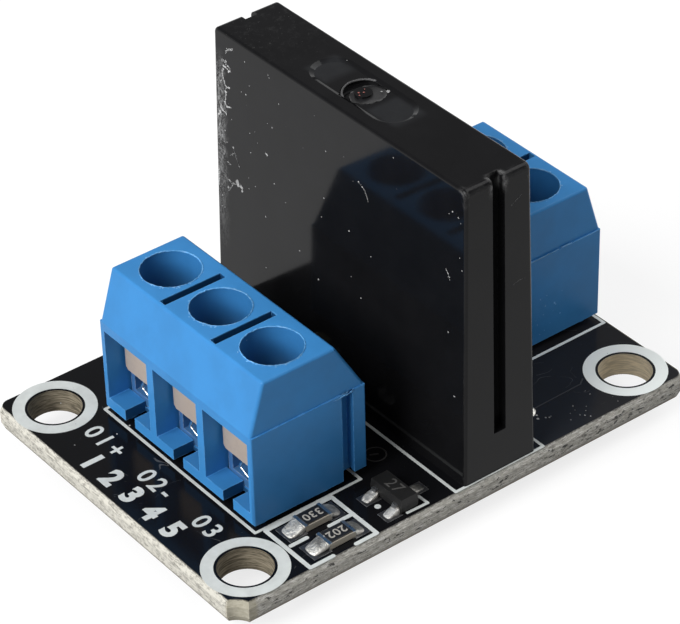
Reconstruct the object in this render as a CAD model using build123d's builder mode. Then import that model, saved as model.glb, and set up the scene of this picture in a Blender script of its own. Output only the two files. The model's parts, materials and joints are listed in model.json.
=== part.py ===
from build123d import *
import os

os.makedirs("parts", exist_ok=True)

# Relay module board: a slim relay between a three-way and a two-way screw terminal
# Millimetres, +Z up, origin on the board's underside at the centre of its mounting holes
# The input terminal faces -X and the output terminal faces +X

# Board sizes
board_length = 34.8
board_width = 25.0
board_thickness = 1.6
board_corner = 0.8
score_inset = 0.2
score_depth = 0.45
relief_radius = 1.3
relief_offset = 0.35
mount_hole = 3.4
mount_spacing_x = 29.4
mount_spacing_y = 19.6

# Places of the parts on the board
input_lip_x = -12.45
input_y = -0.15
output_lip_x = 17.0
output_y = 0.4
relay_x = 2.4
relay_y = -0.1

# Terminal housing, seen from the side: depth inward from the front lip, height from the board
pole_pitch = 5.0
input_poles = 3
output_poles = 2
housing_depth = 8.35
housing_foot = 0.5
shoulder_height = 6.9
housing_height = 10.4
front_slant = 1.07
rear_slant = 2.04
edge_round = 0.2
lower_round = 0.1
end_step = 0.1
foot_diameter = 1.2
foot_inset = 0.95
rear_foot_depth = 5.6

# Terminal chamber behind each wire window
divider = 0.65
window_depth = 1.2
window_top = 6.3
ledge_top = 1.25
ledge_depth = 1.5
notch_width = 1.0
floor_thickness = 0.3
chamber_top = 5.6
chamber_depth = 6.2
seat_thickness = 0.4
access_hole = 3.8
slot_width = 0.55
slot_depth = 2.5
slot_start = 1.25
slot_end = 5.7

# Dovetail that joins one housing to the next
groove_depth_place = 7.0
groove_mouth = 0.8
groove_flare = 0.15
groove_depth = 0.7
rib_proud = 0.55
rib_clearance = 0.06
tongue_lift = 0.3

# Contact strip with its apron and solder pin
contact_thickness = 0.3
apron_width = 3.8
apron_chamfer = 0.2
strip_height = 3.1
ceiling_gap = 0.1
strip_width = 2.6
strip_length = 6.05
pin_width = 1.0
pin_thickness = 0.55
pin_below_board = 1.3
pin_tip_chamfer = 0.14
pin_slot_gap = 0.1
pocket_gap = 0.05

# Rising cage and its screw
cage_front_gap = 0.05
cage_length = 4.2
cage_wall = 0.4
cage_bore_gap = 0.05
cage_floor = 0.6
cage_roof = 0.65
cage_corner = 0.35
cage_lift = 0.1
roof_gap = 0.1
screw_depth_place = 3.66
screw_diameter = 3.0
thread_gap = 0.03
seat_gap = 0.05
tip_gap = 0.02
tip_chamfer = 0.35
head_diameter = 3.5
head_height = 1.4
head_gap = 0.05
head_round = 0.2
driver_slot_width = 0.7
driver_slot_depth = 0.7

# Relay case, its sealed base and its four in-line leads
relay_length = 24.4
relay_top_length = 23.7
relay_depth = 5.5
relay_top_depth = 4.75
relay_height = 20.65
relay_end_round = 0.4
relay_edge_round = 0.2
end_slot_width = 0.9
end_slot_depth = 0.66
end_slot_bottom = 2.85
label_recess_length = 8.5
label_recess_width = 3.0
label_recess_depth = 0.16
label_recess_slope = 0.3
label_centre_shift = 0.3
gate_diameter = 2.8
gate_depth = 0.3
gate_nub = 1.1
case_wall = 0.8
base_thickness = 2.7
base_recess = 0.5
relay_lead_width = 0.9
relay_lead_thickness = 0.4
relay_lead_below = 1.2
relay_lead_seat = 2.0
relay_tip_chamfer = 0.1
relay_lead_inset = 2.04
relay_contact_pitch = 7.62
relay_coil_pitch = 5.08

# Board holes and solder cones round the leads
hole_gap = 0.08
pad_ring = 0.45
solder_height = 0.9
solder_neck = 0.1
solder_waist = 0.15
solder_waist_drop = 0.36

# Chip parts: two resistors and a hidden indicator of the same case size
chip_length = 2.0
chip_width = 1.25
chip_height = 0.5
chip_cap = 0.22
chip_cap_wall = 0.05
glaze_thickness = 0.04
glaze_inset = 0.08
glaze_round = 0.02
resistor_1_place = (-9.2, -9.0)
resistor_2_place = (-9.1, -11.15)
indicator_place = (-2.2, 4.0)
lens_length = 1.1
lens_height = 0.45
chip_solder_length = 0.95
chip_solder_width = 1.5
solder_bulge_out = 0.68
solder_bulge_up = 0.66

# Transistor with three gull-wing leads
transistor_place = (-4.2, -10.45)
transistor_length = 2.9
transistor_width = 1.3
transistor_height = 1.0
transistor_standoff = 0.1
transistor_span = 2.5
transistor_pitch = 1.9
small_lead_width = 0.42
small_lead_thickness = 0.14
small_lead_foot = 0.35
small_lead_heel = 0.1
mould_draft = 7.0
small_solder_length = 0.55
small_solder_width = 0.85
small_solder_height = 0.28

# Flyback diode beside the relay coil, out of sight behind the input terminal
diode_place = (-2.2, -0.6)
diode_length = 2.7
diode_width = 1.6
diode_height = 1.1
diode_span = 4.1
diode_lead_width = 0.6

# Tinned test point beside the relay
test_point_place = (7.15, -9.0)
test_point_radius = 0.7
test_point_height = 0.35

# Values worked out from the sizes above
board_top = board_thickness
quarter_turn = 90
pole_width = pole_pitch - divider
floor_top = housing_foot + floor_thickness
cage_bottom = floor_top + cage_lift
seat_top = chamber_top + seat_thickness
strip_top = strip_height + contact_thickness
apron_top = chamber_top - ceiling_gap
cage_start = ledge_depth + cage_front_gap
cage_inner_width = screw_diameter + 2 * cage_bore_gap
cage_width = cage_inner_width + 2 * cage_wall
cage_inner_top = strip_top + roof_gap
cage_top = cage_inner_top + cage_roof
pin_back = window_depth + strip_length
pin_front = pin_back - pin_thickness
pin_hole_radius = (pin_width**2 + pin_thickness**2) ** 0.5 / 2 + hole_gap
relay_outer_lead = relay_length / 2 - relay_lead_inset
relay_lead_places = (
    -relay_outer_lead,
    relay_contact_pitch - relay_outer_lead,
    relay_outer_lead - relay_coil_pitch,
    relay_outer_lead,
)
relay_hole_radius = (relay_lead_width**2 + relay_lead_thickness**2) ** 0.5 / 2 + hole_gap
input_base = Plane(origin=(input_lip_x, input_y, board_top), x_dir=(1, 0, 0), z_dir=(0, 0, 1))
output_base = Plane(origin=(output_lip_x, output_y, board_top), x_dir=(-1, 0, 0), z_dir=(0, 0, 1))


def side_plane(base, across):
    """Plane across a terminal: sketch in depth and height, extruded towards its right end."""
    origin = base.from_local_coords((0, across, 0))
    return Plane(origin=origin, x_dir=base.x_dir, z_dir=-base.y_dir)


def front_plane(base, depth):
    """Plane facing the front of a terminal: sketch in width and height, extruded inward."""
    origin = base.from_local_coords((depth, 0, 0))
    return Plane(origin=origin, x_dir=base.y_dir, z_dir=base.x_dir)


def pole_places(poles):
    """Distance of each pole from the middle of its housing."""
    return [(i - (poles - 1) / 2) * pole_pitch for i in range(poles)]


def at_poles(depth, poles):
    """Plan points at one depth, one for each pole."""
    return [(depth, across) for across in pole_places(poles)]


def save(piece, name):
    """Label a finished piece and write its file."""
    piece.part.label = name
    export_step(piece.part, f"parts/{name}.step")


def terminal_housing(base, poles):
    """Moulded housing: sloped top, wire windows, chambers, screw wells and dovetails."""
    width = poles * pole_pitch
    half_width = width / 2
    with BuildPart() as housing:
        # Top block above the shoulder, with rounded edges
        with BuildSketch(side_plane(base, half_width)):
            with BuildLine():
                Polyline(
                    (0, shoulder_height),
                    (front_slant, housing_height),
                    (housing_depth - rear_slant, housing_height),
                    (housing_depth, shoulder_height),
                    close=True,
                )
            make_face()
        extrude(amount=width)
        top_edges = housing.edges().group_by(Axis.Z)
        fillet(top_edges[1] + top_edges[-1], edge_round)

        # Lower block, which stands a little proud at both ends
        with BuildSketch(base.offset(housing_foot)):
            with Locations((housing_depth / 2, 0)):
                RectangleRounded(housing_depth, width + 2 * end_step, lower_round)
        extrude(amount=shoulder_height - housing_foot)

        # Round feet that lift the housing off the board
        foot_across = half_width - foot_inset
        with BuildSketch(base):
            with Locations(
                (foot_inset, -foot_across),
                (foot_inset, foot_across),
                (rear_foot_depth, -foot_across),
                (rear_foot_depth, foot_across),
            ):
                Circle(foot_diameter / 2)
        extrude(amount=housing_foot)

        # Dovetail rib at the left end
        rib_root = (groove_mouth / 2) - rib_clearance
        with BuildSketch(base.offset(housing_foot)):
            with BuildLine():
                Polyline(
                    (groove_depth_place - rib_root, half_width),
                    (groove_depth_place + rib_root, half_width),
                    (groove_depth_place + rib_root + groove_flare, half_width + end_step + rib_proud),
                    (groove_depth_place - rib_root - groove_flare, half_width + end_step + rib_proud),
                    close=True,
                )
            make_face()
        extrude(amount=shoulder_height - housing_foot)

        # Dovetail groove at the right end, and the raised foot of the tongue behind it
        mouth = groove_mouth / 2
        outside = -half_width - 2 * end_step
        with BuildSketch(base.offset(housing_foot)):
            with BuildLine():
                Polyline(
                    (groove_depth_place - mouth, outside),
                    (groove_depth_place + mouth, outside),
                    (groove_depth_place + mouth + groove_flare, -half_width + groove_depth),
                    (groove_depth_place - mouth - groove_flare, -half_width + groove_depth),
                    close=True,
                )
            make_face()
        extrude(amount=shoulder_height - housing_foot, mode=Mode.SUBTRACT)
        with BuildSketch(base.offset(housing_foot)):
            with Locations(((groove_depth_place + housing_depth) / 2, -half_width)):
                Rectangle(housing_depth - groove_depth_place, 2 * groove_depth)
        extrude(amount=tongue_lift, mode=Mode.SUBTRACT)

        # Wire windows in the front, open down to the ledge
        with BuildSketch(base.offset(ledge_top)):
            with Locations(*at_poles(window_depth / 2, poles)):
                Rectangle(window_depth, pole_width)
        extrude(amount=window_top - ledge_top, mode=Mode.SUBTRACT)
        with BuildSketch(base.offset(ledge_top)):
            with Locations(*at_poles(ledge_depth / 2, poles)):
                Rectangle(ledge_depth, pole_width)
        extrude(amount=chamber_top - ledge_top, mode=Mode.SUBTRACT)
        with BuildSketch(base.offset(housing_foot)):
            with Locations(*at_poles(ledge_depth / 2, poles)):
                Rectangle(ledge_depth, notch_width)
        extrude(amount=ledge_top - housing_foot, mode=Mode.SUBTRACT)

        # Chambers for the cages, with a narrow pocket behind for strip and pin
        with BuildSketch(base.offset(floor_top)):
            with Locations(*at_poles((ledge_depth + chamber_depth) / 2, poles)):
                Rectangle(chamber_depth - ledge_depth, pole_width)
        extrude(amount=chamber_top - floor_top, mode=Mode.SUBTRACT)
        pocket_end = pin_back + pocket_gap
        with BuildSketch(base.offset(floor_top)):
            with Locations(*at_poles((ledge_depth + pocket_end) / 2, poles)):
                Rectangle(pocket_end - ledge_depth, strip_width + 2 * pocket_gap)
        extrude(amount=strip_top + roof_gap - floor_top, mode=Mode.SUBTRACT)
        with BuildSketch(base):
            with Locations(*at_poles((pin_front + pin_back) / 2, poles)):
                Rectangle(pin_thickness + 2 * pin_slot_gap, pin_width + 2 * pin_slot_gap)
        extrude(amount=floor_top, mode=Mode.SUBTRACT)

        # Screw wells, with a thin seat left under each head
        with BuildSketch(base.offset(seat_top)):
            with Locations(*at_poles(screw_depth_place, poles)):
                Circle(access_hole / 2)
        extrude(amount=housing_height - seat_top, mode=Mode.SUBTRACT)
        with BuildSketch(base.offset(chamber_top)):
            with Locations(*at_poles(screw_depth_place, poles)):
                Circle(screw_diameter / 2 + seat_gap)
        extrude(amount=seat_thickness, mode=Mode.SUBTRACT)

        # Narrow slots in the top between neighbouring poles
        slot_places = [(i - (poles - 2) / 2) * pole_pitch for i in range(poles - 1)]
        with BuildSketch(base.offset(housing_height - slot_depth)):
            with Locations(*[((slot_start + slot_end) / 2, across) for across in slot_places]):
                Rectangle(slot_end - slot_start, slot_width)
        extrude(amount=slot_depth, mode=Mode.SUBTRACT)
    return housing


def pole_contact(base, across):
    """Contact of one pole: apron behind the window, strip over the cage floor, solder pin."""
    with BuildPart() as contact:
        with BuildSketch(front_plane(base, window_depth)) as apron:
            with Locations((across, (strip_height + apron_top) / 2)):
                Rectangle(apron_width, apron_top - strip_height)
            chamfer(apron.vertices().group_by(Axis.Y)[0], apron_chamfer)
        extrude(amount=contact_thickness)
        with BuildSketch(front_plane(base, window_depth)):
            with Locations((across, (strip_height + strip_top) / 2)):
                Rectangle(strip_width, contact_thickness)
        extrude(amount=pin_back - window_depth)
        pin_bottom = -board_thickness - pin_below_board
        with BuildSketch(base.offset(pin_bottom)):
            with Locations(((pin_front + pin_back) / 2, across)):
                Rectangle(pin_thickness, pin_width)
        extrude(amount=strip_top - pin_bottom)
        tip = contact.edges().group_by(Axis.Z)[0]
        chamfer(tip, pin_tip_chamfer)
    return contact


def pole_cage(base, across):
    """Clamping cage of one pole: a folded sleeve round the strip with a threaded roof."""
    with BuildPart() as cage:
        with BuildSketch(front_plane(base, cage_start)):
            with Locations((across, (cage_bottom + cage_top) / 2)):
                RectangleRounded(cage_width, cage_top - cage_bottom, cage_corner)
            inner_floor = cage_bottom + cage_floor
            with Locations((across, (inner_floor + cage_inner_top) / 2)):
                Rectangle(cage_inner_width, cage_inner_top - inner_floor, mode=Mode.SUBTRACT)
        extrude(amount=cage_length)
        with BuildSketch(base.offset(cage_inner_top)):
            with Locations((screw_depth_place, across)):
                Circle(screw_diameter / 2 + thread_gap)
        extrude(amount=cage_roof, mode=Mode.SUBTRACT)
    return cage


def pole_screw(base, across):
    """Clamping screw of one pole: slotted cheese head on a plain shank with a chamfered tip."""
    tip_height = strip_top + tip_gap
    head_bottom = seat_top + head_gap
    with BuildPart() as screw:
        with BuildSketch(base.offset(tip_height)):
            with Locations((screw_depth_place, across)):
                Circle(screw_diameter / 2)
        extrude(amount=head_bottom - tip_height)
        chamfer(screw.edges().group_by(Axis.Z)[0], tip_chamfer)
        with BuildSketch(base.offset(head_bottom)):
            with Locations((screw_depth_place, across)):
                Circle(head_diameter / 2)
        extrude(amount=head_height)
        fillet(screw.edges().group_by(Axis.Z)[-1], head_round)
        with BuildSketch(base.offset(head_bottom + head_height - driver_slot_depth)):
            with Locations((screw_depth_place, across)):
                Rectangle(driver_slot_width, head_diameter)
        extrude(amount=driver_slot_depth, mode=Mode.SUBTRACT)
    return screw


def lead_points():
    """Places of the relay leads on the board."""
    return [(relay_x, relay_y + along) for along in relay_lead_places]


def pin_points(base, poles):
    """Places of a terminal's solder pins on the board."""
    depth = (pin_front + pin_back) / 2
    points = [base.from_local_coords((depth, across, 0)) for across in pole_places(poles)]
    return [(point.X, point.Y) for point in points]


def lead_solder(points, hole_radius, section_x, section_y):
    """Solder of several leads: filled barrel, cone below the board, and the lead's own hole."""
    neck_radius = (section_x + section_y) / 4 + solder_neck
    with BuildPart() as solder:
        for x, y in points:
            with BuildSketch(Plane(origin=(x, y, 0), x_dir=(1, 0, 0), z_dir=(0, -1, 0))):
                with BuildLine():
                    Polyline(
                        (0, -solder_height),
                        (0, board_top),
                        (hole_radius, board_top),
                        (hole_radius, 0),
                        (hole_radius + pad_ring, 0),
                    )
                    ThreePointArc(
                        (hole_radius + pad_ring, 0),
                        (neck_radius + solder_waist, -solder_waist_drop),
                        (neck_radius, -solder_height),
                    )
                    Line((neck_radius, -solder_height), (0, -solder_height))
                make_face()
            revolve(axis=Axis((x, y, 0), (0, 0, 1)))
        with BuildSketch(Plane.XY.offset(-solder_height)):
            with Locations(*points):
                Rectangle(section_x, section_y)
        extrude(amount=solder_height + board_top, mode=Mode.SUBTRACT)
    return solder


def chip_plane(place, turn=0.0):
    """Plane on the board under a chip part, turned about its upright axis."""
    return Plane(origin=(*place, board_top)).rotated((0, 0, turn))


def chip_body(plane):
    """Ceramic block of a chip part, cut back at both ends for its metal caps."""
    with BuildPart() as body:
        with BuildSketch(plane.offset(chip_cap_wall)):
            Rectangle(chip_length - 2 * chip_cap_wall, chip_width)
        extrude(amount=chip_height - 2 * chip_cap_wall)
    return body


def chip_caps(plane):
    """Two metal caps, each folded over one end of a chip part."""
    cap_centre = (chip_length - chip_cap) / 2
    with BuildPart() as caps:
        with BuildSketch(plane):
            with Locations((-cap_centre, 0), (cap_centre, 0)):
                Rectangle(chip_cap, chip_width)
        extrude(amount=chip_height)
        with BuildSketch(plane.offset(chip_cap_wall)):
            Rectangle(chip_length - 2 * chip_cap_wall, chip_width)
        extrude(amount=chip_height - 2 * chip_cap_wall, mode=Mode.SUBTRACT)
    return caps


def chip_glaze(plane):
    """Dark glass coat on the top of a resistor, between its caps."""
    with BuildPart() as glaze:
        with BuildSketch(plane.offset(chip_height - chip_cap_wall)):
            Rectangle(chip_length - 2 * chip_cap, chip_width - 2 * glaze_inset)
        extrude(amount=chip_cap_wall + glaze_thickness)
        fillet(glaze.edges().group_by(Axis.Z)[-1], glaze_round)
    return glaze


def solder_fillets(plane, ends, length, width, height):
    """Solder that slopes from the ends of a small part down to its pads, rounded in plan."""
    with BuildPart() as fillets:
        for side, start, across in ends:
            along = plane.x_dir * side
            origin = plane.from_local_coords((side * start, across, 0))
            with BuildSketch(Plane(origin=origin, x_dir=along, z_dir=along.cross(plane.z_dir))):
                with BuildLine():
                    Line((0, height), (0, 0))
                    Line((0, 0), (length, 0))
                    bulge = (length * solder_bulge_out, height * solder_bulge_up)
                    ThreePointArc((length, 0), bulge, (0, height))
                make_face()
            extrude(amount=width / 2, both=True)
        with BuildSketch(plane):
            with Locations(*[(side * start, across) for side, start, across in ends]):
                Ellipse(length, width / 2)
        extrude(amount=height, mode=Mode.INTERSECT)
    return fillets


def gull_leads(plane, ends, body_half, exit_height, width):
    """Bent leads of a moulded part, each from the moulding's side down to its foot."""
    thickness = small_lead_thickness
    with BuildPart() as leads:
        for side, span_half, across in ends:
            knee = span_half - small_lead_foot
            along = plane.x_dir * side
            origin = plane.from_local_coords((0, across, 0))
            with BuildSketch(Plane(origin=origin, x_dir=along, z_dir=along.cross(plane.z_dir))):
                with BuildLine():
                    Polyline(
                        (body_half, exit_height),
                        (knee - small_lead_heel, exit_height),
                        (knee, thickness),
                        (span_half, thickness),
                        (span_half, 0),
                        (knee - thickness, 0),
                        (knee - small_lead_heel - thickness, exit_height - thickness),
                        (body_half, exit_height - thickness),
                        close=True,
                    )
                make_face()
            extrude(amount=width / 2, both=True)
    return leads


def moulded_body(plane, size_x, size_y, height, standoff, parting):
    """Moulded package: straight round the leads, drafted above and below them."""
    band = small_lead_thickness
    with BuildPart() as body:
        with BuildSketch(plane.offset(parting)):
            Rectangle(size_x, size_y)
        extrude(amount=height - parting, taper=mould_draft)
        with BuildSketch(plane.offset(parting)):
            Rectangle(size_x, size_y)
        extrude(amount=-band)
        with BuildSketch(Plane(plane.offset(parting - band).location).rotated((180, 0, 0))):
            Rectangle(size_x, size_y)
        extrude(amount=parting - band - standoff, taper=mould_draft)
    return body


# Board: scored edges, a round relief at one corner, four mounting holes and the lead holes
input_pins = pin_points(input_base, input_poles)
output_pins = pin_points(output_base, output_poles)
with BuildPart() as board:
    with BuildSketch() as outline:
        RectangleRounded(board_length, board_width, board_corner)
        corner_x = -board_length / 2
        corner_y = -board_width / 2
        with Locations((corner_x + board_corner, corner_y + board_corner)):
            Rectangle(2 * board_corner, 2 * board_corner)
        with Locations((corner_x - relief_offset, corner_y - relief_offset)):
            Circle(relief_radius, mode=Mode.SUBTRACT)
    extrude(amount=board_thickness)
    top_face = board.faces().sort_by(Axis.Z)[-1]
    chamfer(top_face.edges(), length=score_inset, length2=score_depth, reference=top_face)
    bottom_face = board.faces().sort_by(Axis.Z)[0]
    chamfer(bottom_face.edges(), length=score_inset, length2=score_depth, reference=bottom_face)
    with BuildSketch():
        with GridLocations(mount_spacing_x, mount_spacing_y, 2, 2):
            Circle(mount_hole / 2)
        with Locations(*input_pins, *output_pins):
            Circle(pin_hole_radius)
        with Locations(*lead_points()):
            Circle(relay_hole_radius)
    extrude(amount=board_thickness, mode=Mode.SUBTRACT)
save(board, "board")

# Relay case: drafted block with end slots, a recess and a gate mark on top, open underneath
relay_top = board_top + relay_height
with BuildPart() as relay_case:
    with BuildSketch(Plane.XY.offset(board_top)):
        with Locations((relay_x, relay_y)):
            Rectangle(relay_depth, relay_length)
    with BuildSketch(Plane.XY.offset(relay_top)):
        with Locations((relay_x, relay_y)):
            Rectangle(relay_top_depth, relay_top_length)
    loft()
    end_edges = relay_case.edges().group_by(Axis.Z)[-1].filter_by(Axis.X)
    fillet(end_edges, relay_end_round)
    case_faces = relay_case.faces().sort_by(Axis.X)
    foot_edges = relay_case.edges().group_by(Axis.Z)[0]
    fillet((case_faces[0].edges() + case_faces[-1].edges()) - foot_edges, relay_edge_round)
    end_lean = (relay_length - relay_top_length) / 2
    slot_foot = relay_length / 2 - end_lean * end_slot_bottom / relay_height - end_slot_depth
    slot_head = relay_top_length / 2 - end_slot_depth
    for side in (-1, 1):
        with BuildSketch(
            Plane(origin=(relay_x, relay_y, board_top), x_dir=(0, side, 0), z_dir=(side, 0, 0))
        ):
            with BuildLine():
                Polyline(
                    (slot_foot, end_slot_bottom),
                    (relay_length, end_slot_bottom),
                    (relay_length, relay_height),
                    (slot_head, relay_height),
                    close=True,
                )
            make_face()
        extrude(amount=end_slot_width / 2, both=True, mode=Mode.SUBTRACT)
    label_y = relay_y + label_centre_shift
    for drop, slope in ((label_recess_depth, label_recess_slope), (0, 0)):
        with BuildSketch(Plane.XY.offset(relay_top - drop)):
            with Locations(Location((relay_x, label_y), quarter_turn)):
                SlotOverall(label_recess_length - 2 * slope, label_recess_width - 2 * slope)
    loft(mode=Mode.SUBTRACT)
    with BuildSketch(Plane.XY.offset(relay_top - label_recess_depth - gate_depth)):
        with Locations((relay_x, label_y)):
            Circle(gate_diameter / 2)
            Circle(gate_nub / 2, mode=Mode.SUBTRACT)
    extrude(amount=gate_depth, mode=Mode.SUBTRACT)
    with BuildSketch(Plane.XY.offset(board_top)):
        with Locations((relay_x, relay_y)):
            Rectangle(relay_depth - 2 * case_wall, relay_length - 2 * case_wall)
    extrude(amount=base_recess + base_thickness, mode=Mode.SUBTRACT)
save(relay_case, "relay_case")

# Sealed base of the relay, set back a little in the case, with the leads moulded in
lead_top = board_top + base_recess + relay_lead_seat
with BuildPart() as relay_base:
    with BuildSketch(Plane.XY.offset(board_top + base_recess)):
        with Locations((relay_x, relay_y)):
            Rectangle(relay_depth - 2 * case_wall, relay_length - 2 * case_wall)
    extrude(amount=base_thickness)
    with BuildSketch(Plane.XY.offset(board_top + base_recess)):
        with Locations(*lead_points()):
            Rectangle(relay_lead_thickness, relay_lead_width)
    extrude(amount=lead_top - board_top - base_recess, mode=Mode.SUBTRACT)
save(relay_base, "relay_base")

for number, (x, y) in enumerate(lead_points(), start=1):
    with BuildPart() as relay_lead:
        with BuildSketch(Plane.XY.offset(-relay_lead_below)):
            with Locations((x, y)):
                Rectangle(relay_lead_thickness, relay_lead_width)
        extrude(amount=lead_top + relay_lead_below)
        chamfer(relay_lead.edges().group_by(Axis.Z)[0], relay_tip_chamfer)
    save(relay_lead, f"relay_lead_{number}")

# Both terminals: housing, and a contact, a cage and a screw for each pole
for side, base, poles in (
    ("input", input_base, input_poles),
    ("output", output_base, output_poles),
):
    save(terminal_housing(base, poles), f"{side}_housing")
    for number, across in enumerate(pole_places(poles), start=1):
        save(pole_contact(base, across), f"{side}_contact_{number}")
        save(pole_cage(base, across), f"{side}_cage_{number}")
        save(pole_screw(base, across), f"{side}_screw_{number}")

# Solder of the through-hole leads
save(lead_solder(input_pins, pin_hole_radius, pin_thickness, pin_width), "input_solder")
save(lead_solder(output_pins, pin_hole_radius, pin_thickness, pin_width), "output_solder")
save(
    lead_solder(lead_points(), relay_hole_radius, relay_lead_thickness, relay_lead_width),
    "relay_solder",
)

# Two chip resistors with their solder
chip_ends = [(-1, chip_length / 2, 0), (1, chip_length / 2, 0)]
for number, place in enumerate((resistor_1_place, resistor_2_place), start=1):
    resistor_plane = chip_plane(place)
    save(chip_body(resistor_plane), f"resistor_{number}_body")
    save(chip_caps(resistor_plane), f"resistor_{number}_caps")
    save(chip_glaze(resistor_plane), f"resistor_{number}_glaze")
    save(
        solder_fillets(
            resistor_plane, chip_ends, chip_solder_length, chip_solder_width, chip_height
        ),
        f"resistor_{number}_solder",
    )

# Indicator: chip base with caps and a clear lens, out of sight behind the input terminal
indicator_plane = chip_plane(indicator_place, quarter_turn)
save(chip_body(indicator_plane), "indicator_body")
save(chip_caps(indicator_plane), "indicator_caps")
with BuildPart() as indicator_lens:
    with BuildSketch(indicator_plane.offset(chip_height - chip_cap_wall)):
        Rectangle(lens_length, chip_width - 2 * glaze_inset)
    extrude(amount=lens_height + chip_cap_wall, taper=mould_draft)
save(indicator_lens, "indicator_lens")
save(
    solder_fillets(
        indicator_plane, chip_ends, small_solder_length, chip_width, chip_height
    ),
    "indicator_solder",
)

# Transistor: two leads towards the input terminal, one towards the relay
transistor_plane = chip_plane(transistor_place)
transistor_ends = [
    (-1, transistor_span / 2, -transistor_pitch / 2),
    (-1, transistor_span / 2, transistor_pitch / 2),
    (1, transistor_span / 2, 0),
]
transistor_parting = (transistor_height + small_lead_thickness) / 2
save(
    moulded_body(
        transistor_plane,
        transistor_width,
        transistor_length,
        transistor_height,
        transistor_standoff,
        transistor_parting,
    ),
    "transistor_body",
)
save(
    gull_leads(
        transistor_plane,
        transistor_ends,
        transistor_width / 2,
        transistor_parting,
        small_lead_width,
    ),
    "transistor_leads",
)
save(
    solder_fillets(
        transistor_plane,
        transistor_ends,
        small_solder_length,
        small_solder_width,
        small_solder_height,
    ),
    "transistor_solder",
)

# Flyback diode, set along the relay's front
diode_plane = chip_plane(diode_place, quarter_turn)
diode_ends = [(-1, diode_span / 2, 0), (1, diode_span / 2, 0)]
diode_parting = (diode_height + small_lead_thickness) / 2
save(
    moulded_body(
        diode_plane, diode_length, diode_width, diode_height, transistor_standoff, diode_parting
    ),
    "diode_body",
)
save(
    gull_leads(diode_plane, diode_ends, diode_length / 2, diode_parting, diode_lead_width),
    "diode_leads",
)
save(
    solder_fillets(
        diode_plane,
        diode_ends,
        small_solder_length,
        small_solder_width,
        small_solder_height,
    ),
    "diode_solder",
)

# Tinned test point: a low dome of solder on the board beside the relay
dome_radius = (test_point_radius**2 + test_point_height**2) / (2 * test_point_height)
with BuildPart() as test_point:
    with Locations((*test_point_place, board_top + test_point_height - dome_radius)):
        Sphere(dome_radius)
    split(bisect_by=Plane.XY.offset(board_top), keep=Keep.TOP)
save(test_point, "test_point")
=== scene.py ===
"""Relay module board: finishes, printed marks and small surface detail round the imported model.

Every size in this file is in millimetres unless its name or comment says otherwise.
"""
import json
import logging
import math
import random
from dataclasses import dataclass
from enum import Enum
from typing import Iterable, Mapping, Sequence, Union

import bpy
from mathutils import Matrix, Vector

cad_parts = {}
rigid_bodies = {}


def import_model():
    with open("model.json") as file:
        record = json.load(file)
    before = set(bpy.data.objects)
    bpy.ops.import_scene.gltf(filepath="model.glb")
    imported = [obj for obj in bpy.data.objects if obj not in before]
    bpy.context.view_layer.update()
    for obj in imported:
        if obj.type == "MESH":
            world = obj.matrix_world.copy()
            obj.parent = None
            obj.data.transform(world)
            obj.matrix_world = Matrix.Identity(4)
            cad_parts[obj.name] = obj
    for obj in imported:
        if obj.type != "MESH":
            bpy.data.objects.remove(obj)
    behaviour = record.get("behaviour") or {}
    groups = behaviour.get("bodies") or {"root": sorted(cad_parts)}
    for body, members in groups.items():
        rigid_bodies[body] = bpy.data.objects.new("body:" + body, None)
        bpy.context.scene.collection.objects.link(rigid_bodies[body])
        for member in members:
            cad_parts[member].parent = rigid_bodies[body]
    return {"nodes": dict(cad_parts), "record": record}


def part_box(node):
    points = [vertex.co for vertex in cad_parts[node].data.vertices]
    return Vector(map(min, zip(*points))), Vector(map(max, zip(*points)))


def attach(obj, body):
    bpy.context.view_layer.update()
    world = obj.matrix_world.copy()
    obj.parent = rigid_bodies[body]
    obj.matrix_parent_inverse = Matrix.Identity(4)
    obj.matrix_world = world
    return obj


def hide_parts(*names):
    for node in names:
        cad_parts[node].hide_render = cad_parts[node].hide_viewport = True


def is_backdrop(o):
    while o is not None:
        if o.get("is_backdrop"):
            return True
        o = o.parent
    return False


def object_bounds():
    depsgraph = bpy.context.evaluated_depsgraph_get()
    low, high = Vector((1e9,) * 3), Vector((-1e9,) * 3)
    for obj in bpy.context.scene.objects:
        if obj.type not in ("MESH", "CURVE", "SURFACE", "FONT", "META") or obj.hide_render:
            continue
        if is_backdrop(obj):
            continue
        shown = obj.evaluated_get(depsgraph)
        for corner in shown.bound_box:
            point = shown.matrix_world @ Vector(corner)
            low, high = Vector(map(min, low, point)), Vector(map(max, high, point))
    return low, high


LOG = logging.getLogger("relay_board")
MILLIMETRE = 0.001
BOARD_BODY = "board"

Socket = bpy.types.NodeSocket
Value = Union[float, Sequence[float], Socket]
Point = tuple[float, float]
Triple = tuple[float, float, float]
Colour = Triple
Stroke = tuple[float, Sequence[Point]]

BOARD_HEIGHT = 1.6
HOLE_AT: Point = (14.7, 9.8)
HOUSING_TOP = 12.0
INPUT_LIP = -12.45
OUTPUT_LIP = 17.0
INPUT_WELLS: tuple[Point, ...] = ((-8.79, 4.85), (-8.79, -0.15), (-8.79, -5.15))
OUTPUT_WELLS: tuple[Point, ...] = ((13.34, -2.1), (13.34, 2.9))
TONE_LEVELS: Point = (0.3, 0.7)


def metres(*values: float) -> Vector:
    """Turns coordinates in millimetres into a vector in metres."""
    return Vector([value * MILLIMETRE for value in values])


def toned(colour: Colour, share: float) -> Colour:
    """Gives a colour times a share, held at 1."""
    return tuple(min(part * share, 1.0) for part in colour)


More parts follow.
